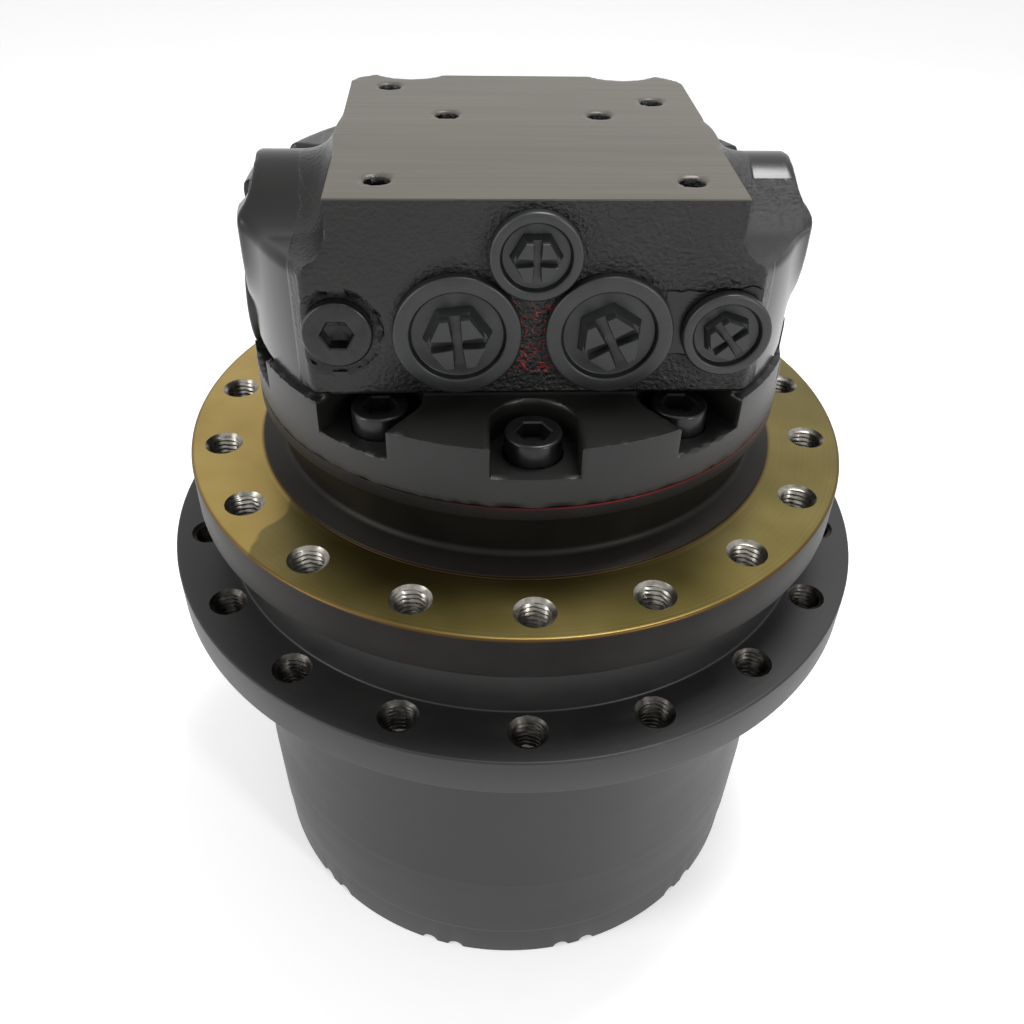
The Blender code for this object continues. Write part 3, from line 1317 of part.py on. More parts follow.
for old in list(bpy.data.objects):
    bpy.data.objects.remove(old, do_unlink=True)
BLACK_PAINT = material("black_paint_on_cast_iron", (0.012, 0.012, 0.012), 0.35, 0)
CAST_GREY = material("dark_grey_paint", (0.035, 0.035, 0.036), 0.45, 0)
YELLOW_ZINC = material("yellow_passivated_steel", (0.20, 0.15, 0.05), 0.35, 1)
STEEL = material("bright_steel", (0.45, 0.45, 0.46), 0.35, 1)
BLACK_STEEL = material("black_oxide_steel", (0.03, 0.03, 0.032), 0.4, 1)
BLACK_PLASTIC = material("black_polyethylene", (0.015, 0.015, 0.016), 0.45, 0)
RUBBER = material("black_rubber", (0.01, 0.01, 0.01), 0.8, 0)
BRASS = material("bronze", (0.45, 0.28, 0.10), 0.35, 1)
FRICTION = material("friction_lining", (0.16, 0.09, 0.05), 0.8, 0)
make_housing()
make_cover()
make_gears()
make_spindle()
make_bearings()
make_motor()
make_block()
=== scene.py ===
# Looks of an excavator's final drive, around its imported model
import json
from math import cos, pi, radians, sin, tan

import bmesh
import bpy
import numpy as np
from mathutils import Matrix, Vector


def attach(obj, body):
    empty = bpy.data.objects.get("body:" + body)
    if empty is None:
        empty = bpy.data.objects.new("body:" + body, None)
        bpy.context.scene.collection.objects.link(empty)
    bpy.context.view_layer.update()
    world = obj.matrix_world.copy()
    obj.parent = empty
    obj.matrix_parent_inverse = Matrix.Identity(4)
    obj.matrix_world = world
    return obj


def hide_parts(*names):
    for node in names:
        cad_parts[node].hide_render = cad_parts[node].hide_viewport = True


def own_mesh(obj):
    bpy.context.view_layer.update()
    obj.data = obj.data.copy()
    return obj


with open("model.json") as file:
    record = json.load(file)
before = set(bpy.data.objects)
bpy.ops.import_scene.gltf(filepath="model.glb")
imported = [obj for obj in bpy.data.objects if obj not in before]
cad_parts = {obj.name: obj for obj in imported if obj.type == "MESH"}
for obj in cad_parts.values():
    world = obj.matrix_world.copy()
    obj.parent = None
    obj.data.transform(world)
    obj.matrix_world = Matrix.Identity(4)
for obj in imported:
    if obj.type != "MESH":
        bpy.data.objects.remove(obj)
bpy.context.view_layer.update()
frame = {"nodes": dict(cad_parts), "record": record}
print("frame loaded:", len(frame["nodes"]), "nodes")

# heights along the drive's axis, shared by several pieces
levels = dict(housingTop=0.1757, flangeTop=0.1937, collarTop=0.2222, frameUnder=0.2236, frameFace=0.2430,
              seam=0.2752)
# one tapped hole of the two flanges, and how finely it is drawn
tapped = dict(count=18, bore=0.0061, mouth=0.0081, pitch=0.0022, depth=0.0009, rowsPerTurn=7, arc=10, side=5,
              steps=5)
# clearance between pieces that lie on each other
gap = 0.0003


# Surfaces, worked out as whole arrays of points


def linear(hexCode):
    # sRGB hex to linear: v / 12.92 below 0.04045, else ((v + 0.055) / 1.055) ** 2.4
    values = [int(hexCode[k:k + 2], 16) / 255 for k in (1, 3, 5)]
    return (*[v / 12.92 if v <= 0.04045 else ((v + 0.055) / 1.055) ** 2.4 for v in values], 1.0)


def gridFaces(rows, columns):
    # Quads between neighbours of a rows by columns grid, joined round its columns.
    i, j = np.meshgrid(np.arange(rows - 1), np.arange(columns), indexing="ij")
    after = (j + 1) % columns
    corners = [i * columns + j, i * columns + after, (i + 1) * columns + after, (i + 1) * columns + j]
    return np.stack(corners, -1).reshape(-1, 4)


def rounded(corners, steps=4):
    # Profile through (radius, height, fillet) corners, each of them an arc that touches both its sides.
    points = []
    for k, (r, z, fillet) in enumerate(corners):
        here = np.array((r, z))
        if fillet == 0 or k in (0, len(corners) - 1):
            points.append(here)
            continue
        before = np.array(corners[k - 1][:2]) - here
        after = np.array(corners[k + 1][:2]) - here
        before = before / np.linalg.norm(before)
        after = after / np.linalg.norm(after)
        half = np.arccos(np.clip(before @ after, -1, 1)) / 2
        bisector = (before + after) / np.linalg.norm(before + after)
        centre = here + bisector * fillet / sin(half)
        start = here + before * fillet / tan(half) - centre
        end = here + after * fillet / tan(half) - centre
        turn = np.arctan2(start[0] * end[1] - start[1] * end[0], start @ end)
        for step in np.linspace(0, turn, steps + 1):
            c, s = cos(step), sin(step)
            points.append(centre + (start[0] * c - start[1] * s, start[0] * s + start[1] * c))
    return np.array(points)


def lathe(profile, angles):
    # A profile of (radius, height) carried round: x = r cos a, y = r sin a, at each of the angles a.
    radius, height = np.asarray(profile)[:, 0, None], np.asarray(profile)[:, 1, None]
    x = radius * np.cos(angles)
    y = radius * np.sin(angles)
    return np.stack([x, y, np.broadcast_to(height, x.shape)], -1)


def evenAngles(count, phase=0):
    return phase + np.arange(count) * 2 * pi / count


def aboutZ(angle):
    # Matrix that turns rows of points about Z, written on their right.
    c, s = cos(angle), sin(angle)
    return np.array(((c, s, 0), (-s, c, 0), (0, 0, 1)))


def hexShare(angles, turn=0):
    # A hexagon's reach at each angle, 1 at its corners: cos 30 / cos of the angle from a flat's middle.
    local = np.mod(angles - turn, pi / 3) - pi / 6
    return cos(pi / 6) / np.cos(local)


def socketRings(rings, angles, turn=0):
    # Rings of (radius, height, isHexagon) round an axis, from the outside to the middle.
    hexagon, circle = hexShare(angles, turn), np.ones_like(angles)
    radius = np.array([r * (hexagon if isHex else circle) for r, z, isHex in rings])
    height = np.array([z for r, z, isHex in rings])[:, None] + 0 * angles
    return np.stack([radius * np.cos(angles), radius * np.sin(angles), height], -1)


def gridPart(points):
    # Points (rows, columns, 3) as a list of vertices with their quads.
    return points.reshape(-1, 3), gridFaces(*points.shape[:2])


def capped(points):
    # A grid whose first and last rows shrink to their middles, so that its poles are closed.
    first, last = [np.broadcast_to(points[k].mean(0), points[:1].shape) for k in (0, -1)]
    return gridPart(np.concatenate([first, points, last]))


def laidAlong(direction, place):
    # Matrix that takes a shape made along +Z to a direction, with its origin at a place.
    turn = Vector(direction).to_track_quat("Z", "Y").to_matrix().to_4x4()
    return Matrix.Translation(place) @ turn


def makePiece(name, parts, materials, body, node, matrix=None, sharp=35, mergeAt=2e-6):
    # One mesh from several grids: doubles merged, normals out, smooth with sharp edges, in its node's place.
    vertices = np.concatenate([v for v, f in parts])
    offsets = np.cumsum([0] + [len(v) for v, f in parts[:-1]])
    faces = np.concatenate([f + o for (v, f), o in zip(parts, offsets)])
    mesh = bpy.data.meshes.new(name)
    mesh.from_pydata(vertices.tolist(), [], faces.tolist())
    work = bmesh.new()
    work.from_mesh(mesh)
    bmesh.ops.remove_doubles(work, verts=work.verts, dist=mergeAt)
    bmesh.ops.dissolve_degenerate(work, edges=work.edges, dist=mergeAt / 2)
    bmesh.ops.recalc_face_normals(work, faces=work.faces)
    work.to_mesh(mesh)
    work.free()
    if matrix is not None:
        mesh.transform(matrix)
    mesh.shade_smooth()
    mesh.set_sharp_from_angle(angle=radians(sharp))
    for one in materials:
        mesh.materials.append(one)
    piece = bpy.data.objects.new(name, mesh)
    bpy.context.scene.collection.objects.link(piece)
    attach(piece, body)
    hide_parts(*([node] if isinstance(node, str) else node))
    return piece


# Materials


def add(tree, kind, settings=None, *inputs, out=0, **named):
    # One node: its settings, its sockets set or linked in order or by name, and the output asked for.
    # Settings may be an operation's name alone; "stops" are a ramp's (position, hex) pairs.
    # In a socket's name "_" stands for a space, and "i6" is the socket with that number.
    made = tree.nodes.new("ShaderNode" + kind)
    settings = dict(operation=settings) if isinstance(settings, str) else dict(settings or {})
    stops = settings.pop("stops", ())
    for key, value in settings.items():
        setattr(made, key, value)
    if stops:
        elements = made.color_ramp.elements
        while len(elements) < len(stops):
            elements.new(0.5)
        for element, (position, colour) in zip(elements, stops):
            element.position = position
            element.color = linear(colour)
    for key, value in list(enumerate(inputs)) + list(named.items()):
        if isinstance(key, str):
            key = int(key[1:]) if key[1:].isdigit() else key.replace("_", " ")
        if isinstance(value, bpy.types.NodeSocket):
            tree.links.new(value, made.inputs[key])
        else:
            made.inputs[key].default_value = value
    return made.outputs[out]


def newMaterial(name, colour, roughness, metallic=0, **constants):
    # A Principled material, returned with its tree, its shader and its Object coordinates.
    made = bpy.data.materials.new(name)
    made.use_nodes = True
    tree = made.node_tree
    shader = tree.nodes["Principled BSDF"]
    shader.inputs["Base Color"].default_value = linear(colour)
    shader.inputs["Roughness"].default_value = roughness
    shader.inputs["Metallic"].default_value = metallic
    for key, value in constants.items():
        shader.inputs[key.replace("_", " ")].default_value = value
    return made, tree, shader, add(tree, "TexCoord", out="Object")


# noise depth and roughness that most finishes share
cloudy = dict(Detail=3.0, Roughness=0.55)
# millimetres in a metre: a pattern's Scale is this / its size in mm
perMetre = 1000


def blackEnamelOnCasting():
    # Gloss enamel brushed over grey iron: the raw walls' sand grain breaks its shine into specks,
    # while milled faces and bosses shine evenly, and the top pad shows olive brush strokes in thin paint,
    # painted lighter than the walls as a painted reflection on the upward face.
    size = dict(grain=1.5, grainDetail=5.0, grainRough=0.62, pitShare=0.45, relief=0.0008, quiet=0.35,
                quietFrom=-0.045, quietTo=-0.010, wanderMm=18, wander=0.012, wanderMiddle=0.006, millMm=1.1,
                millAlong=6, millShare=0.22, stripLeft=0.045, bandLow=0.0400, bandHigh=0.0660,
                bandSoft=0.0006, faceFrom=-0.0748, faceTo=-0.0753, topFrom=0.3725, top=0.3728,
                footFrom=0.0264, footTo=0.0256, boss=0.084, glitterLow=0.0738, glitterHigh=0.0858,
                soft=0.0008)
    red = dict(half=0.010, low=0.034, high=0.068, sizeMm=5, waveFrom=0.016, waveTo=0.008, colour="#8c1f1c")
    made, tree, shader, place = newMaterial("blackEnamelOnCasting", "#111110", 0.24, Specular_IOR_Level=0.36)
    x, y, z = [add(tree, "SeparateXYZ", None, place, out=k) for k in range(3)]
    seam, soft = levels["seam"], size["soft"]
    wander = add(tree, "TexNoise", None, place, Scale=perMetre / size["wanderMm"], **cloudy)
    wander = add(tree, "Math", "MULTIPLY", wander, size["wander"])
    level = add(tree, "Math", "ADD", z, wander)
    level = add(tree, "Math", "SUBTRACT", level, seam + size["wanderMiddle"])
    onFace = add(tree, "MapRange", None, y, size["faceFrom"], size["faceTo"])
    aboveLow = add(tree, "MapRange", None, level, size["bandLow"], size["bandLow"] + size["bandSoft"])
    belowHigh = add(tree, "MapRange", None, level, size["bandHigh"], size["bandHigh"] - size["bandSoft"])
    inBand = add(tree, "Math", "MULTIPLY", aboveLow, belowHigh)
    inStrip = add(tree, "MapRange", None, x, size["stripLeft"], size["stripLeft"] + soft)
    milled = add(tree, "Math", "MULTIPLY", add(tree, "Math", "MULTIPLY", onFace, inBand), inStrip)
    foot = add(tree, "MapRange", None, z, seam + size["footFrom"], seam + size["footTo"])
    top = add(tree, "MapRange", None, z, size["topFrom"], size["top"])
    leftBoss = add(tree, "MapRange", None, x, -size["boss"] + soft, -size["boss"])
    above = add(tree, "MapRange", None, z, seam + size["glitterHigh"], seam + size["glitterHigh"] + soft)
    below = add(tree, "MapRange", None, z, seam + size["glitterLow"], seam + size["glitterLow"] - soft)
    onRight = add(tree, "MapRange", None, x, size["boss"] - soft, size["boss"])
    rightBoss = add(tree, "Math", "MULTIPLY", onRight, add(tree, "Math", "MAXIMUM", above, below))
    machined = milled
    for area in (foot, top, leftBoss, rightBoss):
        machined = add(tree, "Math", "MAXIMUM", machined, area)
    pooled = add(tree, "MapRange", None, x, size["quietFrom"], size["quietTo"], size["quiet"], 1.0)
    raw = add(tree, "Math", "MULTIPLY", add(tree, "Math", "SUBTRACT", 1.0, machined), pooled)
    grainScale = perMetre / size["grain"]
    grain = add(tree, "TexNoise", None, place, Scale=grainScale, Detail=size["grainDetail"],
                Roughness=size["grainRough"])
    pits = add(tree, "TexVoronoi", dict(feature="SMOOTH_F1"), place, Scale=grainScale)
    pits = add(tree, "Math", "MULTIPLY", pits, size["pitShare"])
    casting = add(tree, "Math", "MULTIPLY", add(tree, "Math", "ADD", grain, pits), raw)
    lines = add(tree, "Mapping", None, place,
                Scale=(size["millAlong"], size["millAlong"], perMetre / size["millMm"]))
    cutter = add(tree, "TexNoise", None, lines, Scale=1.0, Detail=3.0, Roughness=0.6)
    milling = add(tree, "Math", "MULTIPLY", cutter, add(tree, "Math", "MULTIPLY", milled, size["millShare"]))
    relief = add(tree, "Math", "ADD", casting, milling)
    tree.links.new(add(tree, "Bump", None, Height=relief, Distance=size["relief"], Strength=1.0),
                   shader.inputs["Normal"])
    enamel = add(tree, "TexNoise", None, place, Scale=perMetre / 30, **cloudy)
    enamel = add(tree, "ValToRGB", dict(stops=((0.3, "#0c0c0b"), (0.7, "#161514"))), enamel)
    # red paint left between the main ports, in thin wavy lines where the noise passes its middle value
    middle = add(tree, "MapRange", None, add(tree, "Math", "ABSOLUTE", x), red["half"], red["half"] - soft)
    low = add(tree, "MapRange", None, z, seam + red["low"], seam + red["low"] + soft)
    high = add(tree, "MapRange", None, z, seam + red["high"], seam + red["high"] - soft)
    wave = add(tree, "TexNoise", None, place, Scale=perMetre / red["sizeMm"], **dict(cloudy, Detail=2.0))
    wave = add(tree, "Math", "ABSOLUTE", add(tree, "Math", "SUBTRACT", wave, 0.5))
    specks = add(tree, "MapRange", None, wave, red["waveFrom"], red["waveTo"])
    for area in (middle, low, high, onFace):
        specks = add(tree, "Math", "MULTIPLY", specks, area)
    enamel = add(tree, "Mix", dict(data_type="RGBA"), specks, i6=enamel, i7=linear(red["colour"]), out=2)
    # top pad: olive grey brush strokes, lifted lighter than the walls as a painted reflection on the upward
    # face
    strokes = add(tree, "Mapping", None, place, Scale=(14, 500, 14))
    strokes = add(tree, "TexNoise", None, strokes, Scale=1.0, Detail=4.0)
    padStrokesAndSheen = add(tree, "ValToRGB", dict(stops=((0.3, "#403d34"), (0.7, "#4e4a40"))), strokes)
    colour = add(tree, "Mix", dict(data_type="RGBA"), top, i6=enamel, i7=padStrokesAndSheen, out=2)
    tree.links.new(colour, shader.inputs["Base Color"])
    smooth = add(tree, "Math", "MAXIMUM", top, foot)
    tree.links.new(add(tree, "MapRange", None, smooth, 0, 1, 0.24, 0.38), shader.inputs["Roughness"])
    return made


def turnedRings(tree, place, spacingMm):
    # Fine turning marks, as noise on the distance from the drive's axis; with that distance and x, y, z.
    x, y, z = [add(tree, "SeparateXYZ", None, place, out=k) for k in range(3)]
    radius = add(tree, "VectorMath", "LENGTH", add(tree, "CombineXYZ", None, x, y), out="Value")
    across = add(tree, "Math", "MULTIPLY", radius, perMetre / spacingMm)
    upward = add(tree, "Math", "MULTIPLY", z, perMetre / spacingMm)
    spread = add(tree, "CombineXYZ", None, across, upward)
    return add(tree, "TexNoise", None, spread, Scale=1.0, Detail=3.0), radius, x, y, z


def yellowPassivatedSteel():
    # Turned steel with yellow zinc passivate: olive gold with a painted highlight, bright gold on the left of
    # the top face, grey rim and neck.
    size = dict(highlightTurn=-0.35, highlightFrom=-0.062, highlightTo=-0.064, highlightShare=0.8, rimFrom=0.1433,
                rimTo=0.1446, pilotFrom=0.1152, pilotTo=0.1140, lineShare=0.75, faceFrom=0.0012,
                faceTo=0.0004, ringFrom=0.1134, ringTo=0.1142, sealFrom=0.0012, sealTo=0.0009,
                sealLeft=-0.035, sealRight=0.020, sealShare=0.8, relief=0.00002)
    made, tree, shader, place = newMaterial("yellowPassivatedSteel", "#6f6236", 0.34, 1)
    rings, radius, x, y, z = turnedRings(tree, place, 0.9)
    cloud = add(tree, "TexNoise", None, place, Scale=perMetre / 70, **cloudy)
    olive = add(tree, "Math", "ADD", add(tree, "Math", "MULTIPLY", cloud, 0.8),
                add(tree, "Math", "MULTIPLY", rings, 0.2))
    olive = add(tree, "ValToRGB", dict(stops=((0.30, "#5a512c"), (0.48, "#6d6238"), (0.62, "#7c7046"),
                                              (0.78, "#645932"))), olive)
    # painted highlight: left of a wavy line, the top face turns bright gold
    wavy = add(tree, "TexNoise", None, place, Scale=perMetre / 25, **dict(cloudy, Detail=2.0))
    side = add(tree, "Math", "ADD", x, add(tree, "Math", "MULTIPLY", y, size["highlightTurn"]))
    side = add(tree, "Math", "ADD", side, add(tree, "Math", "MULTIPLY", wavy, 0.02))
    paintedHighlight = add(tree, "MapRange", None, side, size["highlightFrom"], size["highlightTo"])
    paintedHighlight = add(tree, "Math", "MULTIPLY", paintedHighlight, size["highlightShare"])
    highlightGold = add(tree, "TexNoise", None, place, Scale=perMetre / 40, **cloudy)
    highlightGold = add(tree, "ValToRGB", dict(stops=((0.3, "#b39a5c"), (0.7, "#9c8549"))), highlightGold)
    face = add(tree, "Mix", dict(data_type="RGBA"), paintedHighlight, i6=olive, i7=highlightGold, out=2)
    line = add(tree, "Math", "MAXIMUM", add(tree, "MapRange", None, radius, size["rimFrom"], size["rimTo"]),
               add(tree, "MapRange", None, radius, size["pilotFrom"], size["pilotTo"]))
    line = add(tree, "Math", "MULTIPLY", line, size["lineShare"])
    face = add(tree, "Mix", dict(data_type="RGBA"), line, i6=face, i7=linear("#4a3018"), out=2)
    height = levels["frameFace"]
    onTop = add(tree, "Math", "MULTIPLY",
                add(tree, "MapRange", None, z, height - size["faceFrom"], height - size["faceTo"]),
                add(tree, "MapRange", None, radius, size["ringFrom"], size["ringTo"]))
    grey = add(tree, "TexNoise", None, place, Scale=perMetre / 45, **cloudy)
    grey = add(tree, "ValToRGB", dict(stops=((0.3, "#1d1c1b"), (0.7, "#292725"))), grey)
    colour = add(tree, "Mix", dict(data_type="RGBA"), onTop, i6=grey, i7=face, out=2)
    seam = levels["seam"]
    sealed = add(tree, "Math", "MULTIPLY",
                 add(tree, "MapRange", None, z, seam - size["sealFrom"], seam - size["sealTo"]),
                 add(tree, "MapRange", None, x, size["sealLeft"], size["sealRight"], 0.0, size["sealShare"]))
    colour = add(tree, "Mix", dict(data_type="RGBA"), sealed, i6=colour, i7=linear("#541a1c"), out=2)
    tree.links.new(colour, shader.inputs["Base Color"])
    roughness = add(tree, "Math", "ADD", add(tree, "MapRange", None, onTop, 0, 1, 0.42, 0.30),
                    add(tree, "Math", "MULTIPLY", cloud, 0.12))
    tree.links.new(roughness, shader.inputs["Roughness"])
    tree.links.new(add(tree, "Bump", None, Height=rings, Distance=size["relief"], Strength=1.0),
                   shader.inputs["Normal"])
    return made


def satinBlackPaint():
    # Satin black paint over turned iron: faint bands round the axis, in soft highlights.
    size = dict(bandsPerMetre=60, bandShare=0.6, cloudMm=35, grainMm=1.6, grainShare=0.8, relief=0.000035)
    made, tree, shader, place = newMaterial("satinBlackPaint", "#1b1b1b", 0.44, Specular_IOR_Level=0.4)
    rings, radius, x, y, z = turnedRings(tree, place, 2.5)
    upward = add(tree, "CombineXYZ", None, i2=add(tree, "Math", "MULTIPLY", z, size["bandsPerMetre"]))
    bands = add(tree, "TexNoise", None, upward, Scale=1.0, Detail=2.0)
    cloud = add(tree, "TexNoise", None, place, Scale=perMetre / size["cloudMm"], **dict(cloudy, Detail=4.0))
    both = add(tree, "Math", "ADD", add(tree, "Math", "MULTIPLY", bands, size["bandShare"]),
               add(tree, "Math", "MULTIPLY", cloud, 1 - size["bandShare"]))
    colour = add(tree, "ValToRGB", dict(stops=((0.3, "#151515"), (0.7, "#232322"))), both)
    tree.links.new(colour, shader.inputs["Base Color"])
    tree.links.new(add(tree, "MapRange", None, both, 0.3, 0.7, 0.38, 0.52), shader.inputs["Roughness"])
    grain = add(tree, "TexNoise", None, place, Scale=perMetre / size["grainMm"], **cloudy)
    grain = add(tree, "Math", "MULTIPLY", grain, size["grainShare"])
    relief = add(tree, "Math", "ADD", rings, grain)
    tree.links.new(add(tree, "Bump", None, Height=relief, Distance=size["relief"], Strength=1.0),
                   shader.inputs["Normal"])
    return made


def twoTone(name, base, dark, light, roughness, metallic, patchMm, grainMm=0, relief=0, detail=3.0,
            **constants):
    # Two tones of noise in patches of a real size, and a fine grain where it has a relief.
    made, tree, shader, place = newMaterial(name, base, roughness, metallic, **constants)
    patches = add(tree, "TexNoise", None, place, Scale=perMetre / patchMm, **dict(cloudy, Detail=detail))
    colour = add(tree, "ValToRGB", dict(stops=((0.3, dark), (0.7, light))), patches)
    tree.links.new(colour, shader.inputs["Base Color"])
    if relief:
        grain = add(tree, "TexNoise", None, place, Scale=perMetre / grainMm, **cloudy)
        tree.links.new(add(tree, "Bump", None, Height=grain, Distance=relief, Strength=1.0),
                       shader.inputs["Normal"])
    return made


enamel = blackEnamelOnCasting()
passivate = yellowPassivatedSteel()
paint = satinBlackPaint()
# freshly cut steel, lightly oiled: bright flanks
thread = twoTone("cutThread", "#8d8a84", "#6f6c66", "#a09c94", 0.3, 1, 3)
# the same under thin black paint: dull grey flanks
darkThread = twoTone("paintedThread", "#3d3b38", "#262523", "#54514c", 0.38, 1, 3)
# hot blacked screw steel: dark, with an oily shine
oxide = twoTone("blackOxideSteel", "#1b1b1c", "#131314", "#242425", 0.34, 0.6, 6, 0.8, 0.00002, 4.0,
                Coat_Weight=0.2, Coat_Roughness=0.2)
# injection moulded shipping plugs: satin black with a faint flow texture
plastic = twoTone("mouldedPolyethylene", "#191a1a", "#141515", "#202121", 0.4, 0, 9, 1.2, 0.00003)
# hidden pieces: ground gears and races, seals, the lapped valve plate, the brake's linings
groundSteel = twoTone("groundSteel", "#b4b4b6", "#8f8f90", "#b4b4b6", 0.3, 1, 5, 1.25, 0.00001)
nitrileRubber = twoTone("nitrileRubber", "#161616", "#0d0d0d", "#161616", 0.7, 0, 3, 0.75, 0.00001)
leadedBronze = twoTone("leadedBronze", "#b08747", "#8a6433", "#b08747", 0.35, 1, 5, 1.25, 0.00001)
sinteredLining = twoTone("sinteredLining", "#735744", "#5b4433", "#735744", 0.75, 0, 1.5, 0.375, 0.00001)
print("materials made")


# Flanges with tapped holes


def drilledFlange(inner, outer, circle, phase, top, bottom):
    # Both faces of a ring with tapped holes, as equal sectors, and the threads between them.
    # Each face's points run in straight lines from a hole's mouth to its sector's edge.
    # A thread's radius is bore + depth x |2 frac(z / pitch - a / 2 pi) - 1|.
    half = pi / tapped["count"]
    across = np.linspace(-half, half, tapped["arc"] + 1)[:-1]
    along = np.linspace(inner, outer, tapped["side"] + 1)[:-1]
    edge = np.concatenate([
        np.stack([inner * np.cos(across), inner * np.sin(across)], -1),
        np.stack([along * cos(half), along * sin(half)], -1),
        np.stack([outer * np.cos(-across), outer * np.sin(-across)], -1),
        np.stack([(inner + outer - along) * cos(half), -(inner + outer - along) * sin(half)], -1),
    ]) - (circle, 0)
    angles = np.arctan2(edge[:, 1], edge[:, 0])
    ring = np.stack([np.cos(angles), np.sin(angles)], -1)
    faces, threads = [], []
    share = np.linspace(0, 1, tapped["steps"])[:, None, None]
    chamfer = tapped["mouth"] - tapped["bore"] - tapped["depth"]
    for k in range(tapped["count"]):
        turn = aboutZ(phase + k * 2 * half)
        for height, sign in ((top, 1), (bottom, -1)):
            flat = ring * tapped["mouth"] * (1 - share) + edge * share + (circle, 0)
            rows = np.concatenate([flat, np.full(flat.shape[:2] + (1,), height)], -1)
            lip = np.concatenate([ring * (tapped["mouth"] - chamfer) + (circle, 0),
                                  np.full((len(ring), 1), height - sign * chamfer)], -1)
            both = np.concatenate([lip[None], rows])
            faces.append(gridPart(both @ turn))
        count = int((top - bottom - 2 * chamfer) / tapped["pitch"] * tapped["rowsPerTurn"]) + 1
        z = np.linspace(bottom + chamfer, top - chamfer, count)[:, None]
        wave = np.abs(2 * np.mod(z / tapped["pitch"] - angles / (2 * pi), 1) - 1)
        radius = tapped["bore"] + tapped["depth"] * wave
        radius[[0, -1]] = tapped["mouth"] - chamfer
        tube = np.stack([circle + radius * np.cos(angles), radius * np.sin(angles),
                         np.broadcast_to(z, radius.shape)], -1)
        threads.append(gridPart(tube @ turn))
    return faces, threads


def paintThreads(piece, circle, phase, low, high):
    # Second material slot on the faces inside the holes, between both faces and within the mouth.
    reach, skin = tapped["mouth"] - 0.0002, 0.0001
    mesh = piece.data
    centres = np.empty(len(mesh.polygons) * 3)
    mesh.polygons.foreach_get("center", centres)
    centres = centres.reshape(-1, 3)
    radius = np.hypot(centres[:, 0], centres[:, 1])
    step = 2 * pi / tapped["count"]
    local = np.mod(np.arctan2(centres[:, 1], centres[:, 0]) - phase + step / 2, step) - step / 2
    away = np.hypot(radius * np.cos(local) - circle, radius * np.sin(local))
    inside = (away < reach) & (centres[:, 2] > low + skin) & (centres[:, 2] < high - skin)
    mesh.polygons.foreach_set("material_index", inside.astype(np.int32))


def makeSpindle():
    # Frame flange with its tapped holes, neck and seam ring, and the spindle inside:
    # motor bore, barrel room, shaft bearing, stage 2's end, bearing journals and the face seal's groove.
    size = dict(rim=0.145, hole=0.131, phase=radians(10), ringIn=0.1165, ringOut=0.1434, pilot=0.1136,
                pilotRise=0.0012, neck=0.1041, neckFoot=0.0048, neckTaper=0.0045, seamRing=0.1114,
                seamLow=0.0262, bore=0.0703, boreLow=0.2050, room=0.0625, roomTop=0.2047, roomLow=0.1497,
                race=0.031, raceLow=0.1307, shaft=0.0165, end=0.094, journal=0.085, journalTop=0.1796,
                shoulder=0.0892, shoulderTop=0.2087, groove=0.1039, grooveDeep=0.010)
    top, bottom = levels["frameFace"], levels["frameUnder"]
    seam = levels["seam"] - gap
    angles = evenAngles(tapped["count"] * tapped["arc"], size["phase"] - pi / tapped["count"])
    outer = rounded((
        (size["ringOut"], top, 0), (size["rim"], top, 0.0011), (size["rim"], bottom, 0.0008),
        (size["ringOut"], bottom, 0),
    ))
    inner = rounded((
        (size["ringIn"], top, 0), (size["pilot"], top, 0.0003),
        (size["pilot"], top + size["pilotRise"], 0.0006), (size["neck"], top + size["neckFoot"], 0.0030),
        (size["neck"], top + size["seamLow"] - size["neckTaper"], 0.0015),
        (size["seamRing"], top + size["seamLow"], 0.0008), (size["seamRing"], seam, 0.0006),
        (size["bore"], seam, 0.0005), (size["bore"], size["boreLow"], 0), (size["room"], size["roomTop"], 0),
        (size["room"], size["roomLow"], 0), (size["race"], size["roomLow"], 0),
        (size["race"], size["raceLow"], 0), (size["shaft"], size["raceLow"], 0),
        (size["shaft"], size["end"], 0), (size["journal"], size["end"], 0.001),
        (size["journal"], size["journalTop"], 0),
        (size["shoulder"], size["journalTop"], 0), (size["shoulder"], size["shoulderTop"], 0),
        (size["groove"], bottom, 0), (size["groove"], bottom + size["grooveDeep"], 0),
        (size["ringIn"], bottom + size["grooveDeep"], 0), (size["ringIn"], bottom, 0),
    ))
    faces, threads = drilledFlange(size["ringIn"], size["ringOut"], size["hole"], size["phase"], top, bottom)
    parts = faces + threads + [gridPart(lathe(outer, angles)), gridPart(lathe(inner, angles))]
    piece = makePiece("frameFlangeAndNeck", parts, (passivate, thread), "root", "spindle")
    paintThreads(piece, size["hole"], size["phase"], bottom, top)


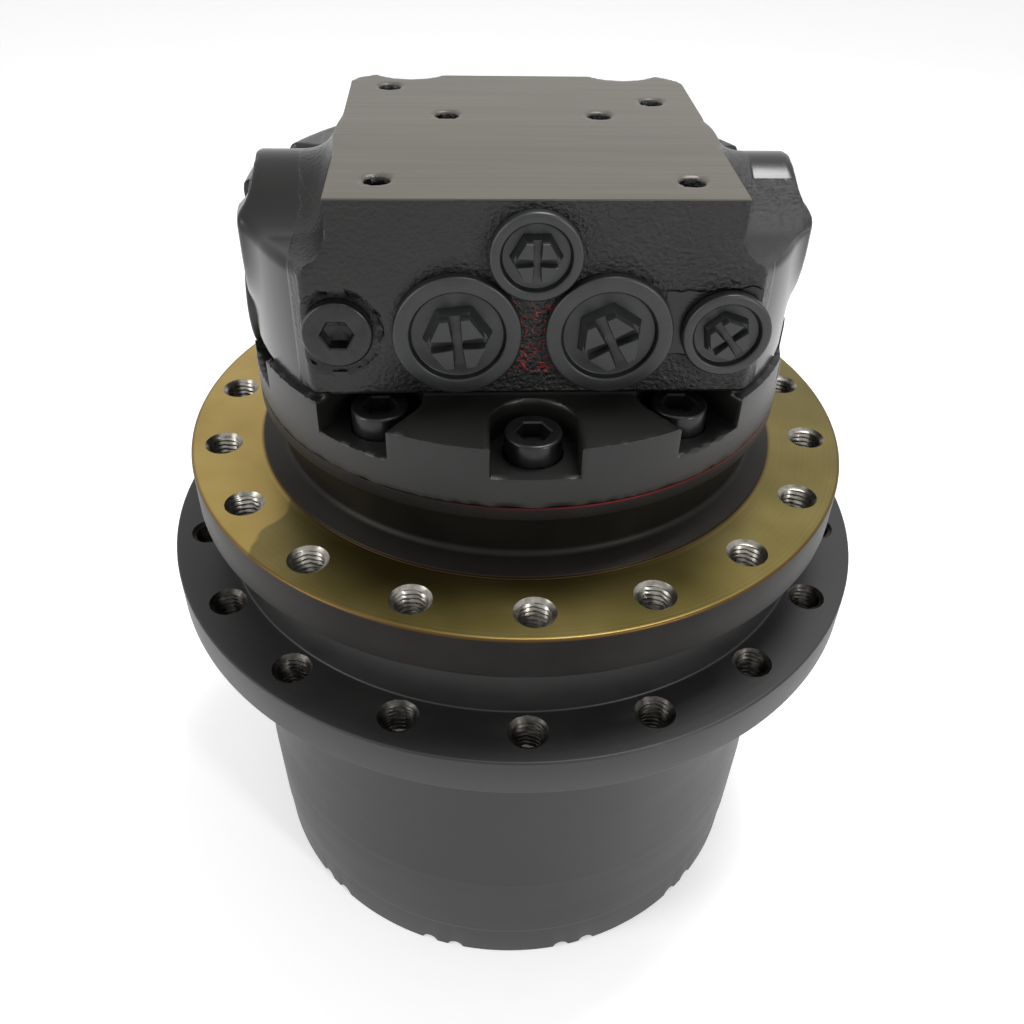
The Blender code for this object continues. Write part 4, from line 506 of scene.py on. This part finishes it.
def makeHousing():
    # Gear housing: lip, soft crease, sprocket flange with tapped holes, collar, half-round notches below.
    size = dict(rim=0.160, hole=0.1451, phase=radians(9.3), ringIn=0.1370, ringOut=0.1588, collar=0.1353,
                sealBore=0.121, sealFloor=0.2087, throat=0.1042, race=0.1033, raceTop=0.1793, bore=0.1195,
                boreTop=0.0941, core=0.1045, wall=0.1297, lip=0.0204, crease=0.0642, waist=0.150, edge=0.0008,
                notch=0.0036, notchPairs=12, notchTurn=radians(12.7), notchHalf=radians(3), notchFade=0.012)
    top, bottom = levels["flangeTop"], levels["housingTop"]
    angles = evenAngles(tapped["count"] * tapped["arc"], size["phase"] - pi / tapped["count"])
    rim = rounded((
        (size["ringOut"], top, 0), (size["rim"], top, 0.0009), (size["rim"], bottom, 0.0009),
        (size["ringOut"], bottom, 0),
    ))
    collar = rounded((
        (size["ringIn"], top, 0), (size["collar"], top, 0.0008),
        (size["collar"], levels["collarTop"], 0.0007),
        (size["sealBore"], levels["collarTop"], 0.0005), (size["sealBore"], size["sealFloor"], 0),
        (size["throat"], size["sealFloor"], 0), (size["race"], size["raceTop"], 0), (size["race"], bottom, 0),
        (size["ringIn"], bottom, 0),
    ))
    faces, threads = drilledFlange(size["ringIn"], size["ringOut"], size["hole"], size["phase"], top, bottom)
    flange = faces + threads + [gridPart(lathe(rim, angles)), gridPart(lathe(collar, angles))]
    fine = evenAngles(720)
    pair = 2 * pi / size["notchPairs"]
    local = np.abs(np.mod(fine - size["notchTurn"] + pair / 2, pair) - pair / 2)
    offset = (local - size["notchHalf"]) * size["wall"]
    notched = np.sqrt(np.clip(size["notch"] ** 2 - offset ** 2, 0, None))
    r = size["wall"]
    wall = rounded((
        (r - 0.001, 0, 0), (r, 0, 0.0007), (r + 0.0007, size["lip"], 0.0007),
        (r + 0.0011, size["lip"] + 0.0013, 0.001), (r + 0.0021, size["crease"], 0.012),
        (r - 0.0004, size["waist"], 0.02), (r - 0.0002, bottom - 0.0040, 0.003),
        (r + 0.0040, bottom + 0.0004, 0.0030), (r + 0.004, bottom + 0.001, 0),
        (size["core"], bottom + 0.001, 0), (size["core"], size["boreTop"], 0),
        (size["bore"], size["boreTop"], 0), (size["bore"], size["edge"], 0),
        (size["bore"] + size["edge"], 0, 0),
    ))
    shell = lathe(wall, fine)
    lift = np.clip(1 - shell[..., 2] / size["notchFade"], 0, 1)
    shell[..., 2] += notched * lift
    shell = np.concatenate([shell, shell[:1]])
    makePiece("gearHousingShell", [gridPart(shell)], (paint,), "hub", "gear_housing", sharp=40)
    ring = makePiece("sprocketFlange", flange, (paint, darkThread), "hub", "gear_housing")
    paintThreads(ring, size["hole"], size["phase"], bottom, top)


def makeEndCover():
    # End cover under the housing with its turned recess, and the low step inside that faces the drive shaft.
    size = dict(low=0.0055, high=0.0165, rim=0.1185, recess=0.070, recessEdge=0.0725, recessDeep=0.003,
                step=0.012, stepRise=0.0012, pole=0.0001)
    low, high, rim = size["low"], size["high"], size["rim"]
    profile = rounded((
        (size["pole"], low + size["recessDeep"], 0), (size["recess"], low + size["recessDeep"], 0.0015),
        (size["recessEdge"], low, 0.001), (rim, low, 0.001), (rim, high, 0.001), (size["step"], high, 0),
        (size["step"], high + size["stepRise"], 0), (size["pole"], high + size["stepRise"], 0),
    ))
    parts = [capped(lathe(profile, evenAngles(144)))]
    makePiece("endCoverTurned", parts, (paint,), "hub", "end_cover")


makeSpindle()
makeHousing()
makeEndCover()
print("flanges, neck and housing made")


# Port block, as the zero surface of a distance function


def blend(a, b, radius):
    # Smooth minimum, which leaves a fillet where a and b are closer than the radius r:
    # b + (a - b) h - r h (1 - h), with h = 0.5 + 0.5 (b - a) / r held between 0 and 1.
    share = np.clip(0.5 + 0.5 * (b - a) / radius, 0, 1)
    return b + (a - b) * share - radius * share * (1 - share)


def crop(a, b, radius):
    # Smooth maximum, which leaves a rounded edge.
    return -blend(-a, -b, radius)


# the port block's radii and places; its heights are above the seam
blockSize = dict(
    step=0.00156, foot=0.1114, ledge=0.0245, drum=0.1088, shoulder=0.0740, face=0.0755, faceLow=0.0270,
    top=0.0983, halfWidth=0.0695, back=0.062, corner=0.012, bossRadius=0.023, bossReach=0.100,
    bossY=-0.012, bossZ=0.0678, scallop=0.018, scallopX=0.045, scallopDepth=0.005, spigot=0.0697,
    spigotLow=-0.0105, screwCircle=0.094, pocket=0.0158, pocketFloor=0.0123, pocketRoof=0.0252,
    seat=0.0111, seatLow=0.0068, shank=0.0077, sidePad=0.0266, sideReach=0.1050, sideY=0.004, sideZ=0.031,
    sideHole=0.0083, sideFloor=0.0967, padBore=0.0043, padDeep=0.016, padBevel=0.0012, portDeep=0.020,
    plugX=0.0680, plugZ=0.0505, spotFace=0.0158, spotDeep=0.0012, capSeat=0.0146, capFrom=0.099,
    capThread=0.0126, threadFrom=0.0837, spoolBore=0.0111, groove=0.079, grooveHalf=0.0034, shaft=0.0122,
    shaftTop=0.0105,
)
# x, y of the top pad's holes; x, height above the seam and radius of the port face's bores
padHoles = ((-0.0530, 0.0455), (-0.0295, 0.0090), (0.0295, 0.0090), (0.0525, 0.0265), (-0.0525, -0.0590),
            (0.0530, -0.0600))
ports = ((-0.0265, 0.0505, 0.0150), (0.0265, 0.0505, 0.0150), (0, 0.0795, 0.0100), (0.0680, 0.0505, 0.0100),
         (-0.0680, 0.0505, 0.0100))


def blockField(points):
    # Distance to the port block, negative inside: smooth unions for the casting, crisp cuts for machining.
    # The last value of a blend or a crop is the radius of its fillet or edge.
    b = blockSize
    x, y, z = points[..., 0], points[..., 1], points[..., 2] - levels["seam"]
    r = np.hypot(x, y)
    drum = crop(crop(r - b["drum"], z - b["shoulder"], 0.004), -z - 0.001, 0.0005)
    qx = np.abs(x) - b["halfWidth"] + b["corner"]
    qy = np.abs(y - (b["back"] - b["face"] - 0.010) / 2) - (b["back"] + b["face"] + 0.010) / 2 + b["corner"]
    tower = np.hypot(np.maximum(qx, 0), np.maximum(qy, 0)) + np.minimum(np.maximum(qx, qy), 0) - b["corner"]
    tower = crop(crop(tower, z - b["top"], 0.0007), 0.030 - z, 0.001)
    boss = np.hypot(y - b["bossY"], z - b["bossZ"]) - b["bossRadius"]
    boss = crop(boss, np.abs(x) - b["bossReach"], 0.0016)
    solid = blend(drum, boss, 0.016)
    solid = crop(blend(solid, tower, 0.015), z - b["top"], 0.0007)
    for side in (-1, 1):
        hollow = np.hypot(x - side * b["scallopX"], y - b["back"] - b["scallop"] + b["scallopDepth"])
        solid = crop(solid, -np.maximum(hollow - b["scallop"], b["shoulder"] + 0.001 - z), 0.002)
    solid = crop(solid, -y - b["face"], 0.0009)
    solid = crop(solid, b["faceLow"] - z, 0.0006)
    foot = crop(crop(r - b["foot"], z - b["ledge"], 0.0003), -z, 0.0003)
    core = crop(crop(r - b["drum"], z - b["faceLow"] - 0.004, 0.0006), -z, 0.0005)
    core = crop(core, -y - b["face"], 0.0009)
    solid = np.minimum(np.minimum(solid, core), foot)
    for k in range(10):
        angle = -pi / 2 + k * pi / 5
        u = x * cos(angle) + y * sin(angle) - b["screwCircle"]
        v = -x * sin(angle) + y * cos(angle)
        slotShape = np.hypot(np.minimum(u, 0), v) - b["pocket"]
        # pockets at the back stay open upwards
        roof = b["shoulder"] + 0.02 if sin(angle) > 0.1 else b["pocketRoof"]
        cut = crop(crop(slotShape, z - roof, 0.001), b["pocketFloor"] - z, 0.0006)
        near = np.hypot(u, v)
        seat = np.maximum(np.maximum(near - b["seat"], z - b["pocketFloor"] - 0.002), b["seatLow"] - z)
        cut = np.minimum(np.minimum(cut, seat), np.maximum(near - b["shank"], z - b["pocketFloor"]))
        solid = crop(solid, -cut, 0.0012)
    for px, py in padHoles:
        away = np.hypot(x - px, y - py) - b["padBore"]
        bore = np.maximum(away, b["top"] - b["padDeep"] - z)
        bevel = np.maximum(away - (z - b["top"] + b["padBevel"]), b["top"] - b["padBevel"] - z)
        solid = np.maximum(solid, -np.minimum(bore, bevel))
    for px, pz, radius in ports:
        away = np.hypot(x - px, z - pz) - radius - gap
        solid = np.maximum(solid, -np.maximum(away, y + b["face"] - b["portDeep"]))
    spot = np.hypot(x + b["plugX"], z - b["plugZ"]) - b["spotFace"]
    solid = crop(solid, -np.maximum(spot, y + b["face"] - b["spotDeep"]), 0.0006)
    away = np.hypot(y - b["bossY"], z - b["bossZ"])
    for radius, start in ((b["capSeat"], b["capFrom"]), (b["capThread"], b["threadFrom"])):
        solid = np.maximum(solid, -np.maximum(away - radius, start - np.abs(x)))
    solid = np.maximum(solid, -(away - b["spoolBore"]))
    away = np.hypot(y - b["sideY"], z - b["sideZ"])
    solid = crop(solid, -np.maximum(away - b["sidePad"], x + b["sideReach"]), 0.0006)
    solid = np.maximum(solid, -np.maximum(away - b["sideHole"], x + b["sideFloor"]))
    spigot = np.maximum(np.maximum(r - b["spigot"], b["spigotLow"] - z), z - 0.002)
    solid = np.minimum(solid, spigot)
    groove = np.maximum(np.abs(r - b["groove"]) - b["grooveHalf"], z - b["grooveHalf"])
    solid = np.maximum(solid, -groove)
    return np.maximum(solid, -np.maximum(r - b["shaft"], z - b["shaftTop"]))


def contour(field, low, high, step):
    # Surface of a field by dual contouring. Each cell that the surface crosses gets one point, nearest to the
    # tangent planes where its edges cross it. Each crossed edge gets a quad between its four cells.
    axes = [np.arange(a, b, step) for a, b in zip(low, high)]
    shape = tuple(len(axis) for axis in axes)
    value = np.empty(shape)
    for k in range(shape[2]):
        layer = np.stack(np.meshgrid(axes[0], axes[1], axes[2][k:k + 1], indexing="ij"), -1)
        value[:, :, k] = field(layer)[:, :, 0]
    origin = np.array([axis[0] for axis in axes])
    cellIds, planes, places, quads = [], [], [], []
    for axis in range(3):
        first = np.take(value, np.arange(shape[axis] - 1), axis)
        second = np.take(value, np.arange(1, shape[axis]), axis)
        index = np.argwhere((first < 0) != (second < 0))
        a, b = first[tuple(index.T)], second[tuple(index.T)]
        spot = index.astype(float)
        spot[:, axis] += a / (a - b)
        spot = origin + spot * step
        small = step * 0.02
        slope = np.stack([field(spot + small * e) - field(spot - small * e) for e in np.eye(3)], -1)
        slope /= np.linalg.norm(slope, axis=1, keepdims=True) + 1e-12
        u, v = (axis + 1) % 3, (axis + 2) % 3
        corners = []
        for du, dv in ((0, 0), (-1, 0), (-1, -1), (0, -1)):
            cell = index.copy()
            cell[:, u] += du
            cell[:, v] += dv
            ids = np.ravel_multi_index(cell.T, shape)
            corners.append(ids)
            cellIds.append(ids)
            planes.append(slope)
            places.append(spot)
        quad = np.stack(corners, -1)
        quads.append(np.where((a < 0)[:, None], quad, quad[:, ::-1]))
    ids, member = np.unique(np.concatenate(cellIds), return_inverse=True)
    normal, place = np.concatenate(planes), np.concatenate(places)
    count = np.bincount(member).astype(float)
    mean = np.stack([np.bincount(member, place[:, k]) for k in range(3)], -1) / count[:, None]
    offset = np.einsum("ij,ij->i", normal, place - mean[member])
    # a weak pull towards the crossings' mean, for cells whose planes fix no single point
    pull = 0.03
    matrix = np.zeros((len(ids), 3, 3))
    for i in range(3):
        for j in range(3):
            matrix[:, i, j] = np.bincount(member, normal[:, i] * normal[:, j])
        matrix[:, i, i] += pull
    right = np.stack([np.bincount(member, normal[:, k] * offset) for k in range(3)], -1)
    move = np.linalg.solve(matrix, right[..., None])[..., 0]
    corner = origin + np.stack(np.unravel_index(ids, shape), -1) * step
    points = np.clip(mean + move, corner - 0.1 * step, corner + 1.1 * step)
    faces = np.searchsorted(ids, np.concatenate(quads))
    return points, faces


def makeBlock():
    # Port block: cast drum and tower with machined faces, pockets and ports.
    step, past = blockSize["step"], 0.0007
    reach = blockSize["foot"] + 3 * step
    low = (-reach, -reach, levels["seam"] + blockSize["spigotLow"] - 3 * step)
    high = (reach + past, reach + past, levels["seam"] + blockSize["top"] + 4 * step)
    parts = [contour(blockField, low, high, step)]
    return makePiece("portBlockCasting", parts, (enamel,), "root", "port_block",
                     sharp=50, mergeAt=1e-7)


block = makeBlock()
print("port block made:", len(block.data.polygons), "faces")


# Plugs, screws and covers

seam = levels["seam"]
portFace = -blockSize["face"]
mainPlug = dict(flange=0.0225, recess=0.0168, foot=0.0124, hexagon=0.0106, shank=0.0150, rise=0.0045,
                floor=0.0020, head=0.0100, slot=0.0042, cross=0.0015)
smallPlug = dict(flange=0.0158, recess=0.0121, foot=0.0091, hexagon=0.0078, shank=0.0100, rise=0.0045,
                 floor=0.0020, head=0.0080, slot=0.0032, cross=0.0011)


def makePlug(name, size, node, x, height, turnDegrees):
    # Moulded plug: raised rim, recess, and in it a raised hexagon, its top four pads with a cross between.
    turn, shankLow = radians(turnDegrees), -0.012
    shank, flange, foot, hexagon = size["shank"], size["flange"], size["foot"], size["hexagon"]
    rise, floor, head = size["rise"], size["floor"], size["head"]
    deep = head - size["slot"]
    rim = rounded((
        (shank, shankLow, 0), (shank, gap, 0.0003), (flange, gap, 0.0004), (flange, rise, 0.0011),
        (size["recess"], rise, 0.0009), (size["recess"] - 0.0006, floor, 0.0006), (foot + 0.0010, floor, 0),
    ))
    rings = [(shank - 0.001, shankLow, False)] + [(r, z, False) for r, z in rim]
    rings += [(foot, floor, True), (foot - 0.0003, floor + 0.0004, True), (hexagon, deep, True)]
    parts = [capped(socketRings(rings, evenAngles(96), turn))]
    # the pads: the hexagon's quarters, each cut back by cross / sqrt 2 on the two sides along the slots
    cross, chamfer = size["cross"], 1 - 0.0004 / 0.006
    around = evenAngles(60, turn)
    reach = (hexagon - 0.0001) * hexShare(around, turn)
    for k in range(4):
        middle = turn + pi / 4 + k * pi / 2
        edge = np.stack([reach * np.cos(around - middle), reach * np.sin(around - middle)], -1)
        flat = np.concatenate([((cross * 1.4, 0),), edge[np.abs(edge[:, 1]) < edge[:, 0] - cross]])
        centre = flat.mean(0)
        rows = []
        for share, z in ((1, deep - 0.0002), (1, head - 0.0004), (chamfer, head), (0.0, head)):
            rows.append(np.concatenate([centre + (flat - centre) * share, np.full((len(flat), 1), z)], 1))
        rows = np.array(rows) @ aboutZ(middle)
        rows = np.concatenate([np.broadcast_to(rows[0].mean(0), rows[:1].shape), rows])
        parts.append(gridPart(rows))
    makePiece(name, parts, (plastic,), "root", node,
              laidAlong((0, -1, 0), (x, portFace, seam + height)), sharp=40)


def makeScrewHead(name, node, corners, hexagon, matrix):
    # Round steel head with a hexagon socket, turned from (radius, height, fillet) corners.
    rings = [(r, z, False) for r, z in rounded(corners)]
    top, deep, chamfer = corners[-2][1], 0.0065, 0.0006
    rings += [(hexagon + chamfer, top, True), (hexagon, top - chamfer, True), (hexagon, top - deep, True),
              (0.0001, top - deep - 0.0012, False)]
    parts = [capped(socketRings(rings, evenAngles(72)))]
    makePiece(name, parts, (oxide,), "root", node, matrix, sharp=40)


makePlug("mainPlugLeft", mainPlug, "port_plug_left", -0.0265, 0.0505, 6)
makePlug("mainPlugRight", mainPlug, "port_plug_right", 0.0265, 0.0505, 27)
makePlug("topPlug", smallPlug, "drain_plug", 0, 0.0795, 0)
makePlug("smallPlugRight", smallPlug, "pilot_plug", 0.0680, 0.0505, 40)
steelPlug = (
    (0.0001, -0.012, 0), (0.0100, -0.012, 0.001), (0.0100, -0.0009, 0), (0.0123, -0.0009, 0.0003),
    (0.0123, 0.0030, 0.0010), (0.0075, 0.0030, 0), (0.0070, 0.0030, 0),
)
place = (-blockSize["plugX"], portFace, seam + blockSize["plugZ"])
makeScrewHead("steelPlugHead", "steel_plug", steelPlug, 0.0058, laidAlong((0, -1, 0), place))
capScrew = (
    (0.0001, -0.0365, 0), (0.0070, -0.0365, 0.001), (0.0070, 0, 0), (0.0105, 0, 0.0004),
    (0.0105, 0.0140, 0.0011), (0.0085, 0.0140, 0), (0.0080, 0.0140, 0),
)
for k, letter in enumerate("abcdefghij"):
    angle = -pi / 2 + k * pi / 5
    place = (blockSize["screwCircle"] * cos(angle), blockSize["screwCircle"] * sin(angle),
             seam + blockSize["seatLow"] + gap)
    makeScrewHead("capScrew" + letter.upper(), "block_screw_" + letter, capScrew, 0.0064,
                  Matrix.Translation(place))
spoolCap = (
    (0.0001, -0.0151, 0), (0.0122, -0.0151, 0.0005), (0.0122, 0, 0), (0.0140, 0, 0.0004),
    (0.0140, 0.0040, 0.0007), (0.0100, 0.0040, 0), (0.0095, 0.0040, 0),
)
for name, side in (("left", -1), ("right", 1)):
    place = (side * (blockSize["capFrom"] + gap), blockSize["bossY"], seam + blockSize["bossZ"])
    makeScrewHead("spoolCap" + name.title(), "spool_cap_" + name, spoolCap, 0.0078,
                  laidAlong((side, 0, 0), place))
sideCover = rounded((
    (0.0001, -0.0080, 0), (0.0080, -0.0080, 0.0005), (0.0080, 0, 0), (0.026, 0, 0.0004),
    (0.026, 0.0047, 0.0012), (0.0215, 0.0047, 0.0006), (0.0205, 0.0040, 0.0006), (0.0001, 0.0040, 0),
))
place = (-blockSize["sideReach"] - gap, blockSize["sideY"], seam + blockSize["sideZ"])
makePiece("sideCoverDisc", [capped(lathe(sideCover, evenAngles(96)))], (plastic,), "root", "side_cover",
          laidAlong((-1, 0, 0), place), sharp=40)
print("plugs, screws and covers made")


# Brake's disc spring


def makeDiscSpring():
    # Coned steel ring in the imported node's place.
    size = dict(thickness=0.0022, stroke=0.0020)
    node = frame["nodes"]["brake_spring"]
    places = np.array([node.matrix_world @ corner.co for corner in node.data.vertices])
    radius = np.hypot(places[:, 0], places[:, 1])
    inner, outer = radius.min() + gap, radius.max()
    low, high = places[:, 2].min(), places[:, 2].max()
    wide = size["thickness"]
    profile = np.array(((outer - wide, low), (outer, low), (outer, low + wide), (inner + wide, high),
                        (inner, high), (inner, high - wide), (outer - wide, low)))
    piece = makePiece("brakeDiscSpring", [gridPart(lathe(profile, evenAngles(144)))], (groundSteel,), "root",
                      "brake_spring")
    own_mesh(piece)


makeDiscSpring()
print("disc spring made")


# CAD nodes that stay, mostly inside

finishes = dict(bright_steel=groundSteel, bronze=leadedBronze, rubber=nitrileRubber,
                friction_lining=sinteredLining, black_steel=oxide, black_plastic=plastic, grey_paint=paint,
                black_paint=enamel, yellow_passivated_steel=passivate)
slots = {part["node"]: part["material_slot"] for part in frame["record"]["subparts"]}
for name, node in frame["nodes"].items():
    for k in range(len(node.material_slots)):
        node.material_slots[k].material = finishes[slots[name]]
print("inner pieces finished")


# Floor, light and camera


def seenDirectly(tree, low, high):
    # High for rays that see the white ground, from the camera or off a glossy or clear surface, else low.
    camera, glossy, clear = [add(tree, "LightPath", out=name) for name in (
        "Is Camera Ray", "Is Glossy Ray", "Is Transmission Ray")]
    seen = add(tree, "Math", "ADD", add(tree, "Math", "ADD", camera, glossy), clear)
    return add(tree, "MapRange", None, seen, 0, 1, low, high)


def plainMaterial(name, colour, glow):
    # Matt floor, lifted towards white where it is seen, so that only the drive's shadow shows.
    made, tree, shader, place = newMaterial(name, colour, 0.6, Specular_IOR_Level=0.2,
                                            Emission_Color=(1, 1, 1, 1))
    tree.links.new(seenDirectly(tree, 0, glow), shader.inputs["Emission Strength"])
    return made


def softLight(name, place, extent, watts):
    # Rectangular lamp that faces the drive's middle.
    aim = (0, 0, 0.2)
    lamp = bpy.data.lights.new(name, "AREA")
    lamp.shape = "RECTANGLE"
    lamp.size, lamp.size_y = extent
    lamp.energy = watts
    made = bpy.data.objects.new(name, lamp)
    made.location = place
    made.rotation_euler = (Vector(aim) - Vector(place)).to_track_quat("-Z", "Y").to_euler()
    bpy.context.scene.collection.objects.link(made)


def makeStudio():
    # White floor and soft lamps, at a level where a mid grey renders about as written.
    size = dict(half=3.0, drop=0.0002, dim=0.55, bright=1.0, glow=0.35)
    half = size["half"]
    mesh = bpy.data.meshes.new("floor")
    corners = [(-half, -half, 0), (half, -half, 0), (half, half, 0), (-half, half, 0)]
    mesh.from_pydata(corners, [], [(0, 1, 2, 3)])
    mesh.materials.append(plainMaterial("paleFloor", "#f4f4f4", size["glow"]))
    floor = bpy.data.objects.new("floor", mesh)
    bpy.context.scene.collection.objects.link(floor)
    floor.location.z = -size["drop"]
    softLight("overhead", (0.25, 0.15, 1.3), (0.4, 0.4), 11)
    softLight("leftWindow", (-1.1, -0.5, 0.7), (0.4, 0.9), 6)
    softLight("rightFront", (1.0, -1.2, 0.75), (0.2, 0.6), 8)
    world = bpy.data.worlds.new("studio")
    bpy.context.scene.world = world
    world.use_nodes = True
    tree = world.node_tree
    background = tree.nodes["Background"]
    background.inputs["Color"].default_value = (1, 1, 1, 1)
    tree.links.new(seenDirectly(tree, size["dim"], size["bright"]), background.inputs["Strength"])


def makeCamera():
    # Camera fitted to the flanges' ellipses: raised 38.8 degrees, rolled 1.6, the drive turned 3.7 left.
    # Distances are in units of the frame flange's radius, the focal length in pixels of the picture.
    size = dict(unit=0.145, rise=0.6766, roll=0.0272, distance=3.1807, across=-0.0143, up=-0.3177,
                focalPx=1001.1, picturePx=1024, sensorMm=36, turn=radians(-3.7))
    back = Vector((0, -cos(size["rise"]), sin(size["rise"])))
    right, up = Vector((1, 0, 0)), Vector((0, sin(size["rise"]), cos(size["rise"])))
    c, s = cos(size["roll"]), sin(size["roll"])
    across, upward = c * right + s * up, -s * right + c * up
    place = (back * size["distance"] + across * size["across"] + upward * size["up"]) * size["unit"]
    view = Matrix((across, upward, back)).transposed().to_4x4()
    view.translation = place
    lens = bpy.data.cameras.new("camera")
    lens.sensor_width = size["sensorMm"]
    lens.lens = size["sensorMm"] * size["focalPx"] / size["picturePx"]
    lens.clip_start = 0.01
    camera = bpy.data.objects.new("camera", lens)
    bpy.context.scene.collection.objects.link(camera)
    turned = Matrix.Rotation(size["turn"], 4, "Z") @ view
    camera.matrix_world = Matrix.Translation((0, 0, levels["frameFace"])) @ turned
    bpy.context.scene.camera = camera


makeStudio()
makeCamera()
bpy.context.scene.view_settings.view_transform = "Standard"
print("studio and camera set")
